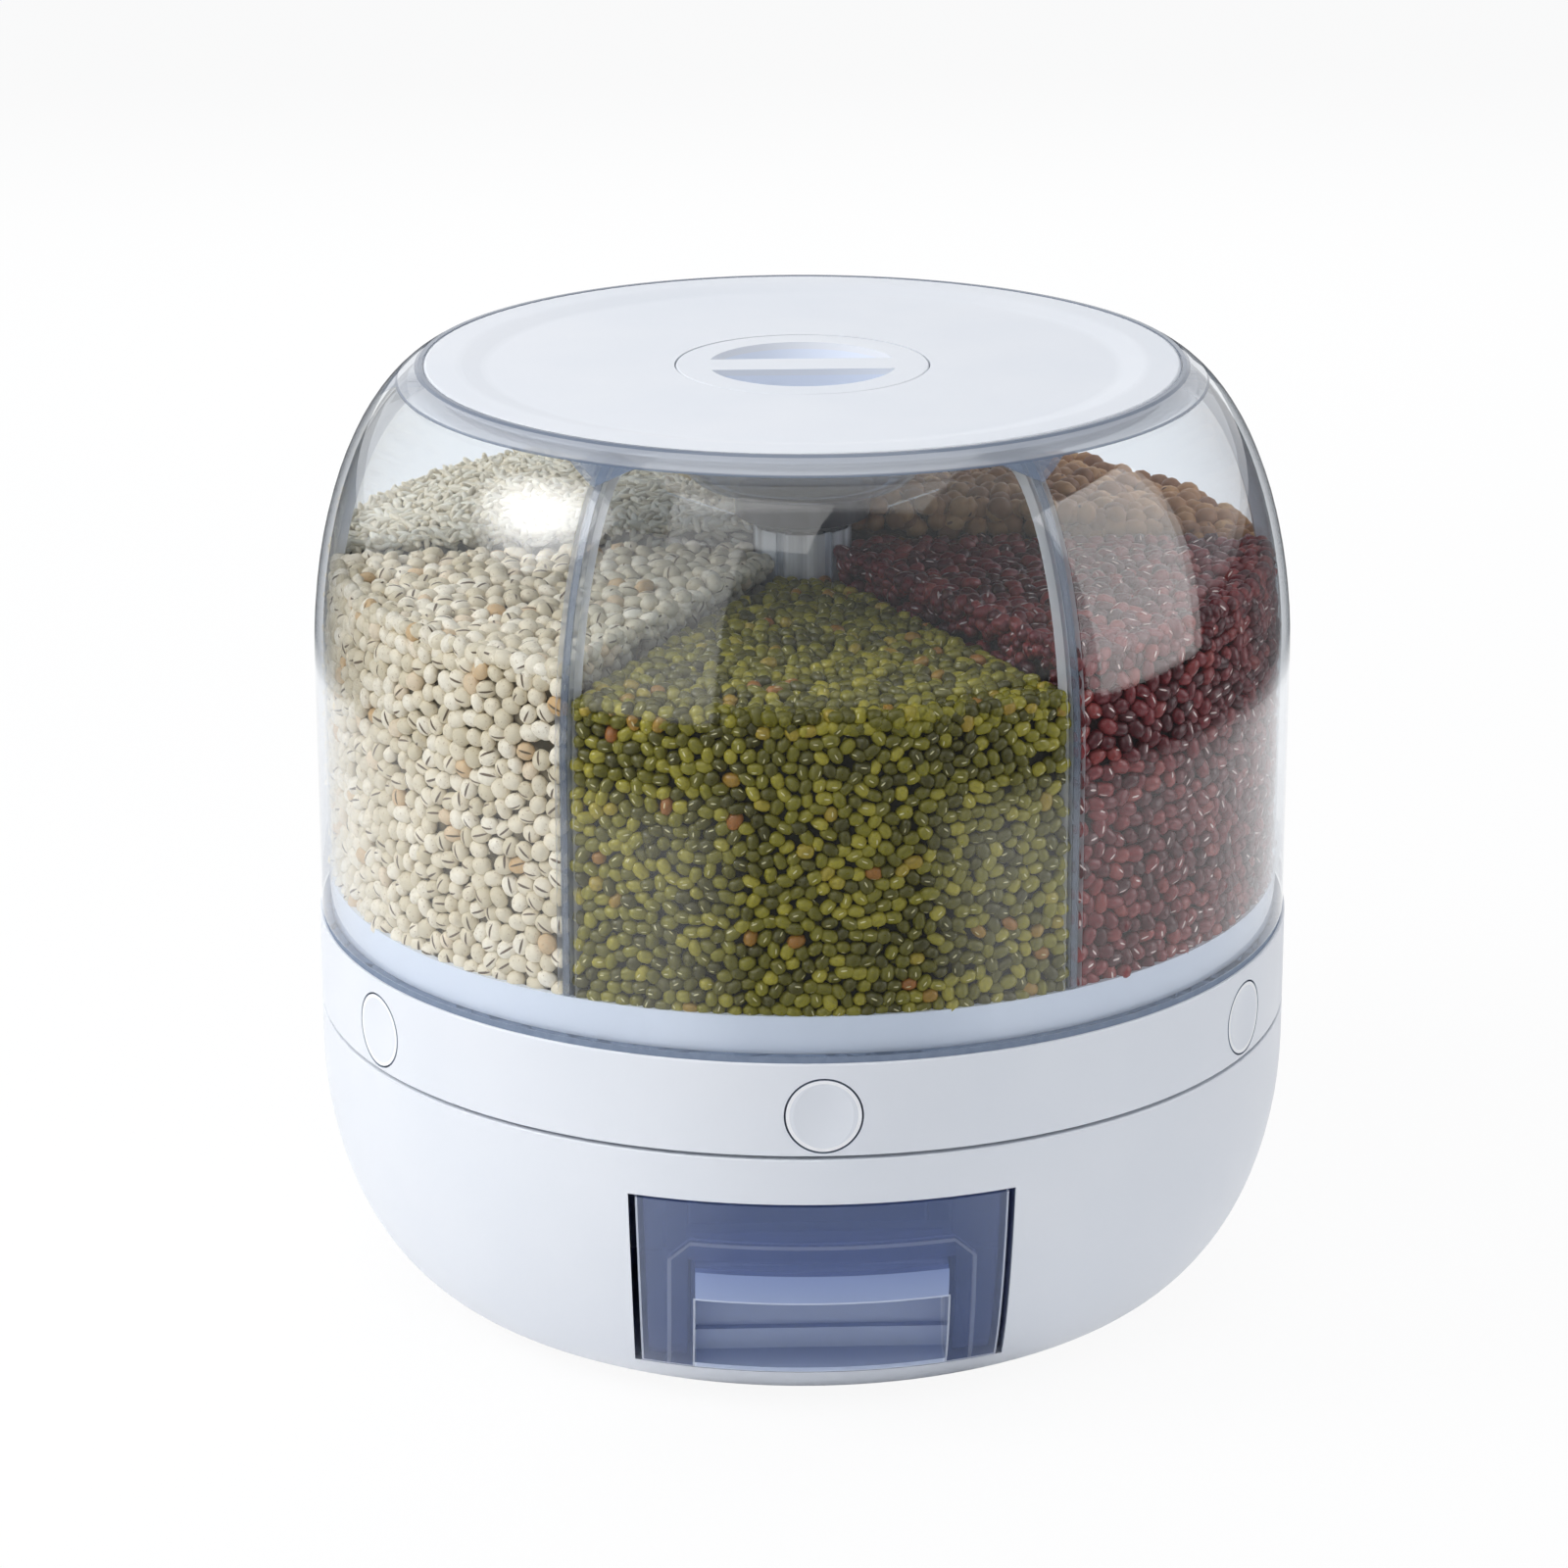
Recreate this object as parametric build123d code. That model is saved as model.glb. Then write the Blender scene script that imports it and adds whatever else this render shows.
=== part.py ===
from build123d import *
import math
import os

# Rotating grain dispenser, in millimetres. A fixed base with a pull-out cup carries a turning
# drum of compartments, each with a push button that opens a slide gate. The lid lifts off.
# The origin is the middle of the footprint on the table. +Z is up, and the cup faces -Y.

# Whole body
COMPARTMENTS = 6
BODY_RADIUS = 150.0
BASE_HEIGHT = 91.0
SEAM_GAP = 1.1
SEAT_GAP = 0.3
SLIDE_GAP = 0.4
EDGE_ROUND = 1.0
OVERRUN = 5.0

# Base shell
FOOT_STAND = 1.5
BASE_WALL = 3.0
BASE_STRAIGHT = 12.0
BASE_REACH = 46.0
BOTTOM_LEDGE = 8.0
FLANGE_RUN = 4.0
FLANGE_WALL = 2.0

# Deck in the base
DECK_WALL = 3.0
DECK_LEDGE_RUN = 4.0
DECK_LEDGE_WALL = 3.0
BOSS_RADIUS = 5.0
BOSS_INSET = 16.0
BOSS_ANGLES = (90, 150, 210, 270)

# Window for the cup
WINDOW_LOW = 14.8
WINDOW_DROP = 14.4
WINDOW_LOW_WIDTH = 109.0
WINDOW_HIGH_WIDTH = 112.6

# Bottom plate and feet
PLATE_WALL = 2.6
PLATE_INSET = 0.4
FOOT_RADIUS = 8.0
FOOT_HEIGHT = 3.0
FOOT_INSET = 10.0
FOOT_COUNT = 6

# Cup bay
BAY_WALL = 2.0
BAY_BACK = 32.0
BAY_LEG_RADIUS = 4.0
BAY_LEG_INSET = 8.5
BAY_LEG_SIDE_RUN = 9.5
BAY_LEG_REAR_RUN = 13.0
BAY_LEG_REAR_ASIDE = 25.0

# Grain cup
CUP_SIDE_GAP = 2.0
CUP_TOP_GAP = 0.9
CUP_BACK = 38.0
CUP_WALL = 2.2
CUP_FRONT_WALL = 3.0
NOTCH_WIDTH = 74.0
NOTCH_DROP = 33.6
POCKET_DROP = 23.6
POCKET_DEPTH = 36.0
POCKET_LEDGE_RISE = 8.8
POCKET_LEDGE_RUN = 3.0
PAD_WIDTH = 89.0
PAD_DROP = 14.1
PAD_CORNER = 6.0
PAD_WALL = 1.2

# Screws
SCREW_RADIUS = 1.5
SCREW_HOLE_GAP = 0.15
SCREW_HEAD_RADIUS = 3.4
SCREW_HEAD_HEIGHT = 1.6
SCREW_LENGTH = 12.0
BAY_SCREW_LENGTH = 9.0

# Ball bearing under the drum
BEARING_GAP = 4.6
BALL_RADIUS = 3.0
BALL_GAP = 0.15
BALL_COUNT = 18
RACE_INSET = 22.0
CAGE_WIDTH = 9.0
CAGE_HEIGHT = 2.0

# Spindle in the middle
SPINDLE_RADIUS = 7.0
SPINDLE_HEAD_RADIUS = 11.0
SPINDLE_HEAD_HEIGHT = 3.0
SPINDLE_BOSS_RADIUS = 14.0
SPINDLE_BOSS_DROP = 14.0
SPINDLE_FIT_GAP = 0.1
BUSH_WALL = 2.3
BUSH_FLANGE_RADIUS = 13.0
BUSH_FLANGE_HEIGHT = 1.5
WASHER_RADIUS = 15.0
WASHER_HEIGHT = 1.5
AXLE_SCREW_RADIUS = 2.4
AXLE_SCREW_LENGTH = 18.0
AXLE_SCREW_HEAD_RADIUS = 5.5
AXLE_SCREW_HEAD_HEIGHT = 3.0

# Turntable plate
TURNTABLE_WALL = 3.0
HUB_WALL = 3.0
HUB_HEIGHT = 11.0
GUIDE_WALL = 2.0
GUIDE_HEIGHT = 3.8
GUIDE_LENGTH = 44.0

# Button ring
RING_HEIGHT = 28.3
RING_WALL = 2.6
RING_FLANGE = 10.0
RING_FLANGE_WALL = 2.6
RING_WEB_WALL = 2.4
RING_WEB_RUN = 6.0

# Buttons, gates and return springs
BUTTON_RADIUS = 11.0
BUTTON_RISE = 12.45
BUTTON_GAP = 0.45
BUTTON_DEPTH = 6.0
BUTTON_FACE_WALL = 3.0
BUTTON_SKIRT_WALL = 1.6
BUTTON_RIM = 1.2
BUTTON_DISH = 1.1
BUTTON_TRAVEL = 11.0
SOCKET_RADIUS = 5.0
PIN_RADIUS = 3.0
PIN_LENGTH = 6.0
PIN_GAP = 0.1
GATE_WALL = 2.5
GATE_SIDE_LAP = 3.0
GATE_END_LAP = 8.0
TAB_WALL = 3.0
TAB_WIDTH = 14.0
TAB_HEIGHT = 12.0
TAB_SET_BACK = 4.0
SPRING_WIRE_RADIUS = 0.4
SPRING_RADIUS = 2.4
SPRING_TURNS = 8
SPRING_AXIS_RISE = 3.4
SPRING_SEAT_RUN = 1.2
SPRING_SEAT_WIDTH = 8.0

# Hopper floor
OUTLET_INSET = 50.0
OUTLET_RUN = 9.5
OUTLET_WIDTH = 40.0
THROAT_HEIGHT = 6.4
HOPPER_WALL = 2.2
BAND_HEIGHT = 13.2
BAND_WALL = 2.0
BAND_LIP = 2.0
CONE_RISE = 34.0
CONE_TOP_RADIUS = 18.0
RIDGE_RISE = 14.0
RIDGE_MARGIN = 0.3
POST_INSET = 38.0
POST_RADIUS = 4.5
SPIGOT_HEIGHT = 4.0

# Chute in the base under the outlets
CHUTE_MARGIN = 1.8
CHUTE_WALL = 2.0
CHUTE_DROP = 6.0

# Clear drum shell
GASKET_HEIGHT = 2.0
GASKET_INSET = 0.3
SHELL_INSET = 0.6
SHELL_WALL = 2.6
SHELL_STRAIGHT = 78.9
SHOULDER_REACH = 44.0
SHOULDER_RISE = 92.3
SHOULDER_ANGLE = 76.0
LIP_WALL = 1.3
LID_GAP = 0.35
LID_SEAT = 6.7
SEAT_WALL = 2.4
COLLAR_WALL = 2.2
COLLAR_DROP = 4.4
RAIL_WALL = 1.6
RAIL_DEPTH = 5.0

# Dividers and centre column
DIVIDER_WALL = 2.0
DIVIDER_TOP_GAP = 1.5
DIVIDER_BOWL_GAP = 3.0
COLUMN_RADIUS = 15.0
COLUMN_WALL = 2.6
COLUMN_HEIGHT = 102.0
COLUMN_CAP = 2.0
COLUMN_GROOVE = 1.2

# Lid and its seal
LID_WALL = 3.0
PLUG_GAP = 1.6
PLUG_WALL = 2.0
PLUG_DROP = 5.4
DISH_DROP = 1.6
DISH_RIM = 14.4
DISH_SLOPE_RUN = 8.0
DISH_ROUND = 12.0
SEAL_WALL = 0.7
SEAL_FIN = 1.0
SEAL_FIN_GAP = 0.3
SEAL_LOW_SHELF = 0.8

# Knob, its retaining ring and the clear bowl below
KNOB_RADIUS = 38.3
KNOB_GAP = 0.4
KNOB_WALL = 2.4
KNOB_LEDGE = 4.2
LID_HUB_WALL = 2.4
LID_HUB_WIDTH = 5.0
GRIP_RADIUS = 28.5
GRIP_FLOOR_RADIUS = 19.5
GRIP_DEPTH = 20.0
GRIP_WALL = 2.5
GRIP_BAR = 13.5
GRIP_ROUND = 0.6
CLIP_HEIGHT = 1.6
CLIP_GROOVE = 1.0
CLIP_REACH = 1.8
CLIP_SPLIT = 12.0
BOWL_WALL = 1.8
BOWL_FLANGE = 3.0
BOWL_FLANGE_WALL = 2.0
BOWL_CLIP_GAP = 0.8
BOWL_DEPTH = 32.0
BOWL_ROUND = 12.0

# Heights and radii that follow from the sizes above
spoke = 360 / COMPARTMENTS
base_top = BASE_HEIGHT - SEAM_GAP / 2
ring_low = BASE_HEIGHT + SEAM_GAP / 2
ring_top = ring_low + RING_HEIGHT
deck_top = ring_low - BEARING_GAP
deck_low = deck_top - DECK_WALL
bowl_centre = BODY_RADIUS - BASE_REACH
bowl_z = BASE_HEIGHT - BASE_STRAIGHT
bottom_opening = bowl_centre - BOTTOM_LEDGE
boss_circle = bottom_opening - BOSS_INSET
foot_circle = bottom_opening - FOOT_INSET
bay_leg_circle = bottom_opening - BAY_LEG_INSET
bay_leg_aside = WINDOW_LOW_WIDTH / 2 - BAY_LEG_SIDE_RUN
window_high = BASE_HEIGHT - WINDOW_DROP
plate_low = FOOT_STAND + PLATE_INSET
plate_top = plate_low + PLATE_WALL
cup_low = WINDOW_LOW + SEAT_GAP
cup_top = window_high - CUP_TOP_GAP
notch_high = window_high - NOTCH_DROP
pocket_high = window_high - POCKET_DROP
pad_high = window_high - PAD_DROP
pocket_back = BODY_RADIUS - POCKET_DEPTH
pocket_ledge_high = WINDOW_LOW + POCKET_LEDGE_RISE
cup_floor = cup_low + CUP_WALL
ball_z = deck_top + BEARING_GAP / 2
race_radius = BODY_RADIUS - RACE_INSET
boss_low = deck_low - SPINDLE_BOSS_DROP
turntable_top = ring_low + TURNTABLE_WALL
turntable_radius = BODY_RADIUS - RING_WALL - SLIDE_GAP
hub_top = ring_low + HUB_HEIGHT
bush_radius = SPINDLE_RADIUS + SPINDLE_FIT_GAP + BUSH_WALL
bush_top = hub_top + BUSH_FLANGE_HEIGHT
spindle_top = bush_top + SEAT_GAP
button_z = ring_low + BUTTON_RISE
button_back = BODY_RADIUS - BUTTON_DEPTH
gate_low = turntable_top + SEAT_GAP
gate_top = gate_low + GATE_WALL
gate_width = OUTLET_WIDTH + 2 * GATE_SIDE_LAP
outlet_radius = BODY_RADIUS - OUTLET_INSET
gate_in = outlet_radius - OUTLET_RUN / 2 - GATE_END_LAP
tab_out = button_back - TAB_SET_BACK
tab_in = tab_out - TAB_WALL
throat_low = gate_top + SEAT_GAP
trough_z = throat_low + THROAT_HEIGHT
trough_in = outlet_radius - OUTLET_RUN / 2
trough_out = outlet_radius + OUTLET_RUN / 2
cone_top = trough_z + CONE_RISE
ridge_z = trough_z + RIDGE_RISE
half_spoke = math.radians(spoke / 2)
ridge_room = trough_in * math.sin(half_spoke) - OUTLET_WIDTH / 2 * math.cos(half_spoke)
ridge_half_width = ridge_room - RIDGE_MARGIN
post_circle = BODY_RADIUS - POST_INSET
band_top = ring_top + BAND_HEIGHT
slope_top = band_top - BAND_LIP
shell_radius = BODY_RADIUS - SHELL_INSET
shell_in = shell_radius - SHELL_WALL
band_out = shell_in - SLIDE_GAP
band_in = band_out - BAND_WALL
shell_low = ring_top + GASKET_HEIGHT
shoulder_z = shell_low + SHELL_STRAIGHT
shoulder_centre = shell_radius - SHOULDER_REACH
rim_radius = shoulder_centre + SHOULDER_REACH * math.cos(math.radians(SHOULDER_ANGLE))
rim_z = shoulder_z + SHOULDER_RISE * math.sin(math.radians(SHOULDER_ANGLE))
lip_in = rim_radius - LIP_WALL
lid_radius = lip_in - LID_GAP
dish_radius = lid_radius - DISH_RIM
mouth_radius = lip_in - LID_SEAT
seat_z = rim_z - LID_WALL
seat_low = seat_z - SEAT_WALL
collar_low = seat_z - COLLAR_DROP
plug_out = mouth_radius - PLUG_GAP
plug_in = plug_out - PLUG_WALL
plug_low = seat_z - PLUG_DROP
divider_top = plug_low - DIVIDER_TOP_GAP
column_top = cone_top + COLUMN_HEIGHT
groove_in = COLUMN_RADIUS - COLUMN_GROOVE
dish_z = rim_z - DISH_DROP
lid_under = dish_z - LID_WALL
knob_seat = dish_z - KNOB_WALL
lid_hub_low = knob_seat - LID_HUB_WALL
lid_hole = KNOB_RADIUS - KNOB_LEDGE
neck_radius = lid_hole - KNOB_GAP
clip_top = lid_hub_low - SEAT_GAP
clip_low = clip_top - CLIP_HEIGHT
clip_radius = lid_hole + CLIP_REACH
bowl_in = clip_radius + BOWL_CLIP_GAP
bowl_out = bowl_in + BOWL_WALL
bowl_low = lid_hub_low - BOWL_DEPTH


def face_of(points, soft=(), radius=EDGE_ROUND):
    """A flat face through (radius, height) points, with the soft corners rounded."""
    face = make_face(Polyline(*points, close=True))
    if not soft:
        return face
    corners = face.vertices()
    picked = [min(corners, key=lambda v: (v.center() - Vector(*p)).length) for p in soft]
    return fillet(picked, radius)


def turned(points, soft=(), radius=EDGE_ROUND):
    """A solid turned about the upright axis."""
    return revolve(Plane.XZ * face_of(points, soft, radius), Axis.Z)


def tube(inner, outer, low, high):
    """A plain upright ring."""
    return turned([(inner, low), (outer, low), (outer, high), (inner, high)])


def rod(radius, low, high):
    """A plain upright cylinder."""
    return Pos(0, 0, (low + high) / 2) * Cylinder(radius, high - low)


def block(width, near, far, low, high):
    """A block on the front spoke, between two distances from the axis."""
    middle = Pos(0, -(near + far) / 2, (low + high) / 2)
    return middle * Box(width, far - near, high - low)


def front_rod(radius, near, far, height):
    """A cylinder lying along the front spoke."""
    return Pos(0, -(near + far) / 2, height) * Rot(90, 0, 0) * Cylinder(radius, far - near)


def spokes(shape, turn_share=0.0):
    """The shape once for each compartment, turned by a share of the spacing."""
    return [Rot(0, 0, (i + turn_share) * spoke) * shape for i in range(COMPARTMENTS)]


def around(shape, angles):
    """The shape at each angle, counted from the front."""
    return [Rot(0, 0, angle) * shape for angle in angles]


def joined(shape, extras):
    """One solid from a shape and what is moulded onto it."""
    for extra in extras:
        shape = shape + extra
    return shape


def pierced(shape, cuts):
    """The shape with each cut taken out."""
    for cut in cuts:
        shape = shape - cut
    return shape


def group(shapes):
    """Several loose solids kept in one node."""
    return Compound([solid for shape in shapes for solid in shape.solids()])


def bowl_solid(inset):
    """The base's outer form as a full solid, moved inwards by inset."""
    side = BODY_RADIUS - inset
    foot = FOOT_STAND + inset
    edges = [
        Line((0, base_top), (side, base_top)),
        Line((side, base_top), (side, bowl_z)),
        EllipticalCenterArc((bowl_centre, bowl_z), BASE_REACH - inset, bowl_z - foot, arc_size=-90),
        Line((bowl_centre, foot), (0, foot)),
        Line((0, foot), (0, base_top)),
    ]
    return revolve(Plane.XZ * make_face(edges), Axis.Z)


def window_half(height):
    """Half the window's width at a height, on its slightly tapered sides."""
    share = (height - WINDOW_LOW) / (window_high - WINDOW_LOW)
    return (WINDOW_LOW_WIDTH + (WINDOW_HIGH_WIDTH - WINDOW_LOW_WIDTH) * share) / 2


def window_prism(aside, low, high, near, far):
    """A prism with the window's sides, moved out by aside, from one depth to another."""
    low_half = window_half(low) + aside
    high_half = window_half(high) + aside
    face = make_face(
        Polyline((-low_half, low), (low_half, low), (high_half, high), (-high_half, high), close=True)
    )
    return extrude(Plane.XZ.offset(near) * face, far - near)


def skin_arc(inset, height, downward=False):
    """The drum wall's shoulder moved inwards by inset, up to a height."""
    reach = SHOULDER_REACH - inset
    rise = SHOULDER_RISE - inset
    top = math.degrees(math.asin((height - shoulder_z) / rise))
    start = top if downward else 0
    size = -top if downward else top
    return EllipticalCenterArc((shoulder_centre, shoulder_z), reach, rise, start, arc_size=size)


def chain(edges, *points):
    """The edges with straight runs added through the points."""
    last = edges[-1] @ 1
    for point in points:
        edges.append(Line(last, point))
        last = Vector(*point)
    return edges


def screw(low, length=SCREW_LENGTH):
    """A small pan-head screw that points up from a height."""
    head_top = low + SCREW_HEAD_HEIGHT
    return rod(SCREW_HEAD_RADIUS, low, head_top) + rod(SCREW_RADIUS, head_top, head_top + length)


def screw_holes(low, length=SCREW_LENGTH):
    """Room for a screw: its counterbore and its hole."""
    head_top = low + SCREW_HEAD_HEIGHT
    head = rod(SCREW_HEAD_RADIUS + SLIDE_GAP, low - OVERRUN, head_top)
    return head + rod(SCREW_RADIUS + SCREW_HOLE_GAP, low, head_top + length + SEAT_GAP)


def placed(shape, places):
    """The shape at each (x, y) place."""
    return [Pos(x, y, 0) * shape for x, y in places]


def bay_leg_places():
    """Where the bay's legs stand on the bottom plate."""
    front = math.sqrt(bay_leg_circle**2 - bay_leg_aside**2)
    pairs = [(bay_leg_aside, -front), (BAY_LEG_REAR_ASIDE, -BAY_BACK - BAY_LEG_REAR_RUN)]
    return [(side * x, y) for x, y in pairs for side in (-1, 1)]


def boss_places():
    """Where the deck's long screw bosses stand."""
    angles = [math.radians(angle) for angle in BOSS_ANGLES]
    return [(boss_circle * math.sin(a), -boss_circle * math.cos(a)) for a in angles]


def foot_spots(shape):
    """The shape at each foot's place."""
    return around(Pos(0, -foot_circle, 0) * shape, [i * 360 / FOOT_COUNT for i in range(FOOT_COUNT)])


def race_groove():
    """The ball track, shared by the base's deck and the turntable."""
    return Pos(0, 0, ball_z) * Torus(race_radius, BALL_RADIUS + BALL_GAP)


def make_base_shell():
    """White bowl with a window for the cup, a ledge for the deck and a flange over the bottom plate."""
    side_in = BODY_RADIUS - BASE_WALL
    cuts = [
        bowl_solid(BASE_WALL),
        rod(side_in, bowl_z, base_top + OVERRUN),
        rod(bottom_opening, 0, FOOT_STAND + BASE_WALL + OVERRUN),
    ]
    flange_top = plate_top + FLANGE_WALL
    extras = [
        tube(side_in - DECK_LEDGE_RUN, side_in + BASE_WALL / 2, deck_low - DECK_LEDGE_WALL, deck_low),
        tube(bottom_opening, bowl_centre, FOOT_STAND + BASE_WALL / 2, flange_top),
        tube(bottom_opening - FLANGE_RUN, bowl_centre, plate_top, flange_top),
    ]
    window = window_prism(0, WINDOW_LOW, window_high, bowl_centre, BODY_RADIUS + OVERRUN)
    shell = joined(pierced(bowl_solid(0), cuts), extras) - window
    rim = shell.edges().filter_by(GeomType.CIRCLE).group_by(Axis.Z)[-1].sort_by(SortBy.RADIUS)[-1]
    return fillet(rim, EDGE_ROUND / 2)


def make_base_deck():
    """Deck that drops into the bowl, with a ball track, a chute, a spindle boss and long screw bosses."""
    chute_half_run = OUTLET_RUN / 2 + CHUTE_MARGIN
    chute_in = outlet_radius - chute_half_run
    chute_out = outlet_radius + chute_half_run
    chute_width = OUTLET_WIDTH + 2 * CHUTE_MARGIN
    spout_low = deck_low - CHUTE_DROP
    spout_width = chute_width + 2 * CHUTE_WALL
    spout = block(spout_width, chute_in - CHUTE_WALL, chute_out + CHUTE_WALL, spout_low, deck_top)
    extras = [spout, rod(SPINDLE_BOSS_RADIUS, boss_low, deck_top)]
    extras += placed(rod(BOSS_RADIUS, plate_top, deck_top), boss_places())
    holes = [
        race_groove(),
        block(chute_width, chute_in, chute_out, spout_low - OVERRUN, deck_top + OVERRUN),
        rod(SPINDLE_RADIUS + SPINDLE_FIT_GAP, boss_low - OVERRUN, deck_top + OVERRUN),
    ]
    holes += placed(screw_holes(plate_low), boss_places())
    deck = rod(BODY_RADIUS - BASE_WALL - SLIDE_GAP, deck_low, deck_top)
    return pierced(joined(deck, extras), holes)


def make_base_plate():
    """Disc that closes the base from below."""
    plate = rod(bottom_opening - SLIDE_GAP, plate_low, plate_top)
    recess = rod(FOOT_RADIUS + SLIDE_GAP / 2, plate_low - OVERRUN, FOOT_HEIGHT)
    cuts = foot_spots(recess)
    cuts += placed(screw_holes(plate_low), boss_places() + bay_leg_places())
    return pierced(plate, cuts)


def make_feet():
    """Rubber feet with a rounded lower edge."""
    foot = turned(
        [(0, 0), (FOOT_RADIUS, 0), (FOOT_RADIUS, FOOT_HEIGHT), (0, FOOT_HEIGHT)],
        soft=[(FOOT_RADIUS, 0)],
        radius=EDGE_ROUND,
    )
    return group(foot_spots(foot))


def make_cup_bay():
    """Open-topped tunnel that the cup slides in, standing on legs."""
    low = WINDOW_LOW - BAY_WALL
    reach = BODY_RADIUS + OVERRUN
    outer = window_prism(SLIDE_GAP + BAY_WALL, low, window_high, BAY_BACK, BODY_RADIUS)
    inner = window_prism(SLIDE_GAP, WINDOW_LOW, window_high + OVERRUN, BAY_BACK + BAY_WALL, reach)
    tunnel = (outer - inner) & bowl_solid(BASE_WALL + SEAT_GAP)
    legs = placed(rod(BAY_LEG_RADIUS, plate_top, WINDOW_LOW - BAY_WALL / 2), bay_leg_places())
    holes = placed(screw_holes(plate_low, BAY_SCREW_LENGTH), bay_leg_places())
    return pierced(joined(tunnel, legs), holes)


def make_grain_cup():
    """Translucent cup whose front follows the base, with a finger pocket behind a notch."""
    reach = BODY_RADIUS + OVERRUN
    outer = window_prism(-CUP_SIDE_GAP, cup_low, cup_top, CUP_BACK, reach) & bowl_solid(0)
    inner_side = -CUP_SIDE_GAP - CUP_WALL
    inner = window_prism(inner_side, cup_floor, cup_top + OVERRUN, CUP_BACK + CUP_WALL, reach)
    behind_front = bowl_solid(CUP_FRONT_WALL)
    cup = outer - (inner & behind_front)
    pad_low_half = PAD_WIDTH / 2
    pad_high_half = pad_low_half - PAD_CORNER
    pad_face = make_face(
        Polyline(
            (-pad_low_half, cup_low),
            (pad_low_half, cup_low),
            (pad_low_half, pad_high - PAD_CORNER),
            (pad_high_half, pad_high),
            (-pad_high_half, pad_high),
            (-pad_low_half, pad_high - PAD_CORNER),
            close=True,
        )
    )
    pad = extrude(Plane.XZ.offset(CUP_BACK) * pad_face, reach - CUP_BACK)
    pad = (pad & outer) - bowl_solid(CUP_FRONT_WALL + PAD_WALL)
    housing_width = NOTCH_WIDTH + 2 * CUP_WALL
    housing_in = pocket_back - CUP_WALL
    housing = block(housing_width, housing_in, reach, cup_low, pocket_high + CUP_WALL)
    cup = cup + pad + (housing & outer)
    pocket = block(NOTCH_WIDTH, pocket_back, reach, cup_floor, pocket_high) & behind_front
    notch = block(NOTCH_WIDTH, pocket_back, reach, cup_floor, notch_high)
    ledge_out = pocket_back + POCKET_LEDGE_RUN
    ledge = block(NOTCH_WIDTH, housing_in, ledge_out, cup_low, pocket_ledge_high)
    return cup - pocket - notch + ledge


def make_ball_cage():
    """Flat ring that spaces the balls."""
    cage_low = ball_z - CAGE_HEIGHT / 2
    cage_in = race_radius - CAGE_WIDTH / 2
    ring = tube(cage_in, cage_in + CAGE_WIDTH, cage_low, cage_low + CAGE_HEIGHT)
    hole = Pos(0, -race_radius, ball_z) * Cylinder(BALL_RADIUS + SEAT_GAP, CAGE_HEIGHT + OVERRUN)
    return pierced(ring, around(hole, [i * 360 / BALL_COUNT for i in range(BALL_COUNT)]))


def make_balls():
    """Bearing balls in their track."""
    ball = Pos(0, -race_radius, ball_z) * Sphere(BALL_RADIUS)
    return group(around(ball, [i * 360 / BALL_COUNT for i in range(BALL_COUNT)]))


def make_spindle():
    """Headed post that the drum turns on, drilled for its screw."""
    head = rod(SPINDLE_HEAD_RADIUS, boss_low - SPINDLE_HEAD_HEIGHT, boss_low)
    post = rod(SPINDLE_RADIUS, boss_low - SPINDLE_HEAD_HEIGHT, spindle_top)
    drill_low = spindle_top - AXLE_SCREW_LENGTH
    drill = rod(AXLE_SCREW_RADIUS + SCREW_HOLE_GAP, drill_low, spindle_top + OVERRUN)
    return head + post - drill


def make_bush():
    """Flanged sleeve between the spindle and the hub."""
    bore = SPINDLE_RADIUS + SPINDLE_FIT_GAP
    sleeve = tube(bore, bush_radius, ring_low, bush_top)
    return sleeve + tube(bore, BUSH_FLANGE_RADIUS, hub_top, bush_top)


def make_washer():
    """Washer that keeps the drum on the spindle."""
    hole = AXLE_SCREW_RADIUS + SCREW_HOLE_GAP
    return tube(hole, WASHER_RADIUS, spindle_top, spindle_top + WASHER_HEIGHT)


def make_axle_screw():
    """Screw down into the spindle."""
    head_low = spindle_top + WASHER_HEIGHT
    head = rod(AXLE_SCREW_HEAD_RADIUS, head_low, head_low + AXLE_SCREW_HEAD_HEIGHT)
    return head + rod(AXLE_SCREW_RADIUS, head_low - AXLE_SCREW_LENGTH, head_low)


def make_turntable():
    """Plate under the drum with a hub, a ball track, outlets and guides for the gates."""
    hub_in = bush_radius + SPINDLE_FIT_GAP
    hub_out = hub_in + HUB_WALL
    plate = turned(
        [
            (hub_in, ring_low),
            (turntable_radius, ring_low),
            (turntable_radius, turntable_top),
            (hub_out, turntable_top),
            (hub_out, hub_top),
            (hub_in, hub_top),
        ]
    )
    rail_in = gate_width / 2 + SLIDE_GAP
    rail = block(GUIDE_WALL, gate_in, gate_in + GUIDE_LENGTH, turntable_top, turntable_top + GUIDE_HEIGHT)
    rails = [Pos(side * (rail_in + GUIDE_WALL / 2), 0, 0) * rail for side in (-1, 1)]
    outlet = block(OUTLET_WIDTH, trough_in, trough_out, ring_low - OVERRUN, turntable_top + OVERRUN)
    pressed_back = button_back - BUTTON_TRAVEL - BUTTON_GAP
    notch = block(TAB_WIDTH, pressed_back, BODY_RADIUS, ring_low - OVERRUN, turntable_top + OVERRUN)
    screw_room = Pos(0, -post_circle, 0) * screw_holes(ring_low)
    plate = joined(plate, [piece for pair in zip(*map(spokes, rails)) for piece in pair])
    return pierced(plate, [race_groove()] + spokes(outlet) + spokes(notch) + spokes(screw_room, 1 / 2))


def make_hopper_screws():
    """Screws from the turntable up into the hopper's posts."""
    return group(spokes(Pos(0, -post_circle, 0) * screw(ring_low), 1 / 2))


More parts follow.
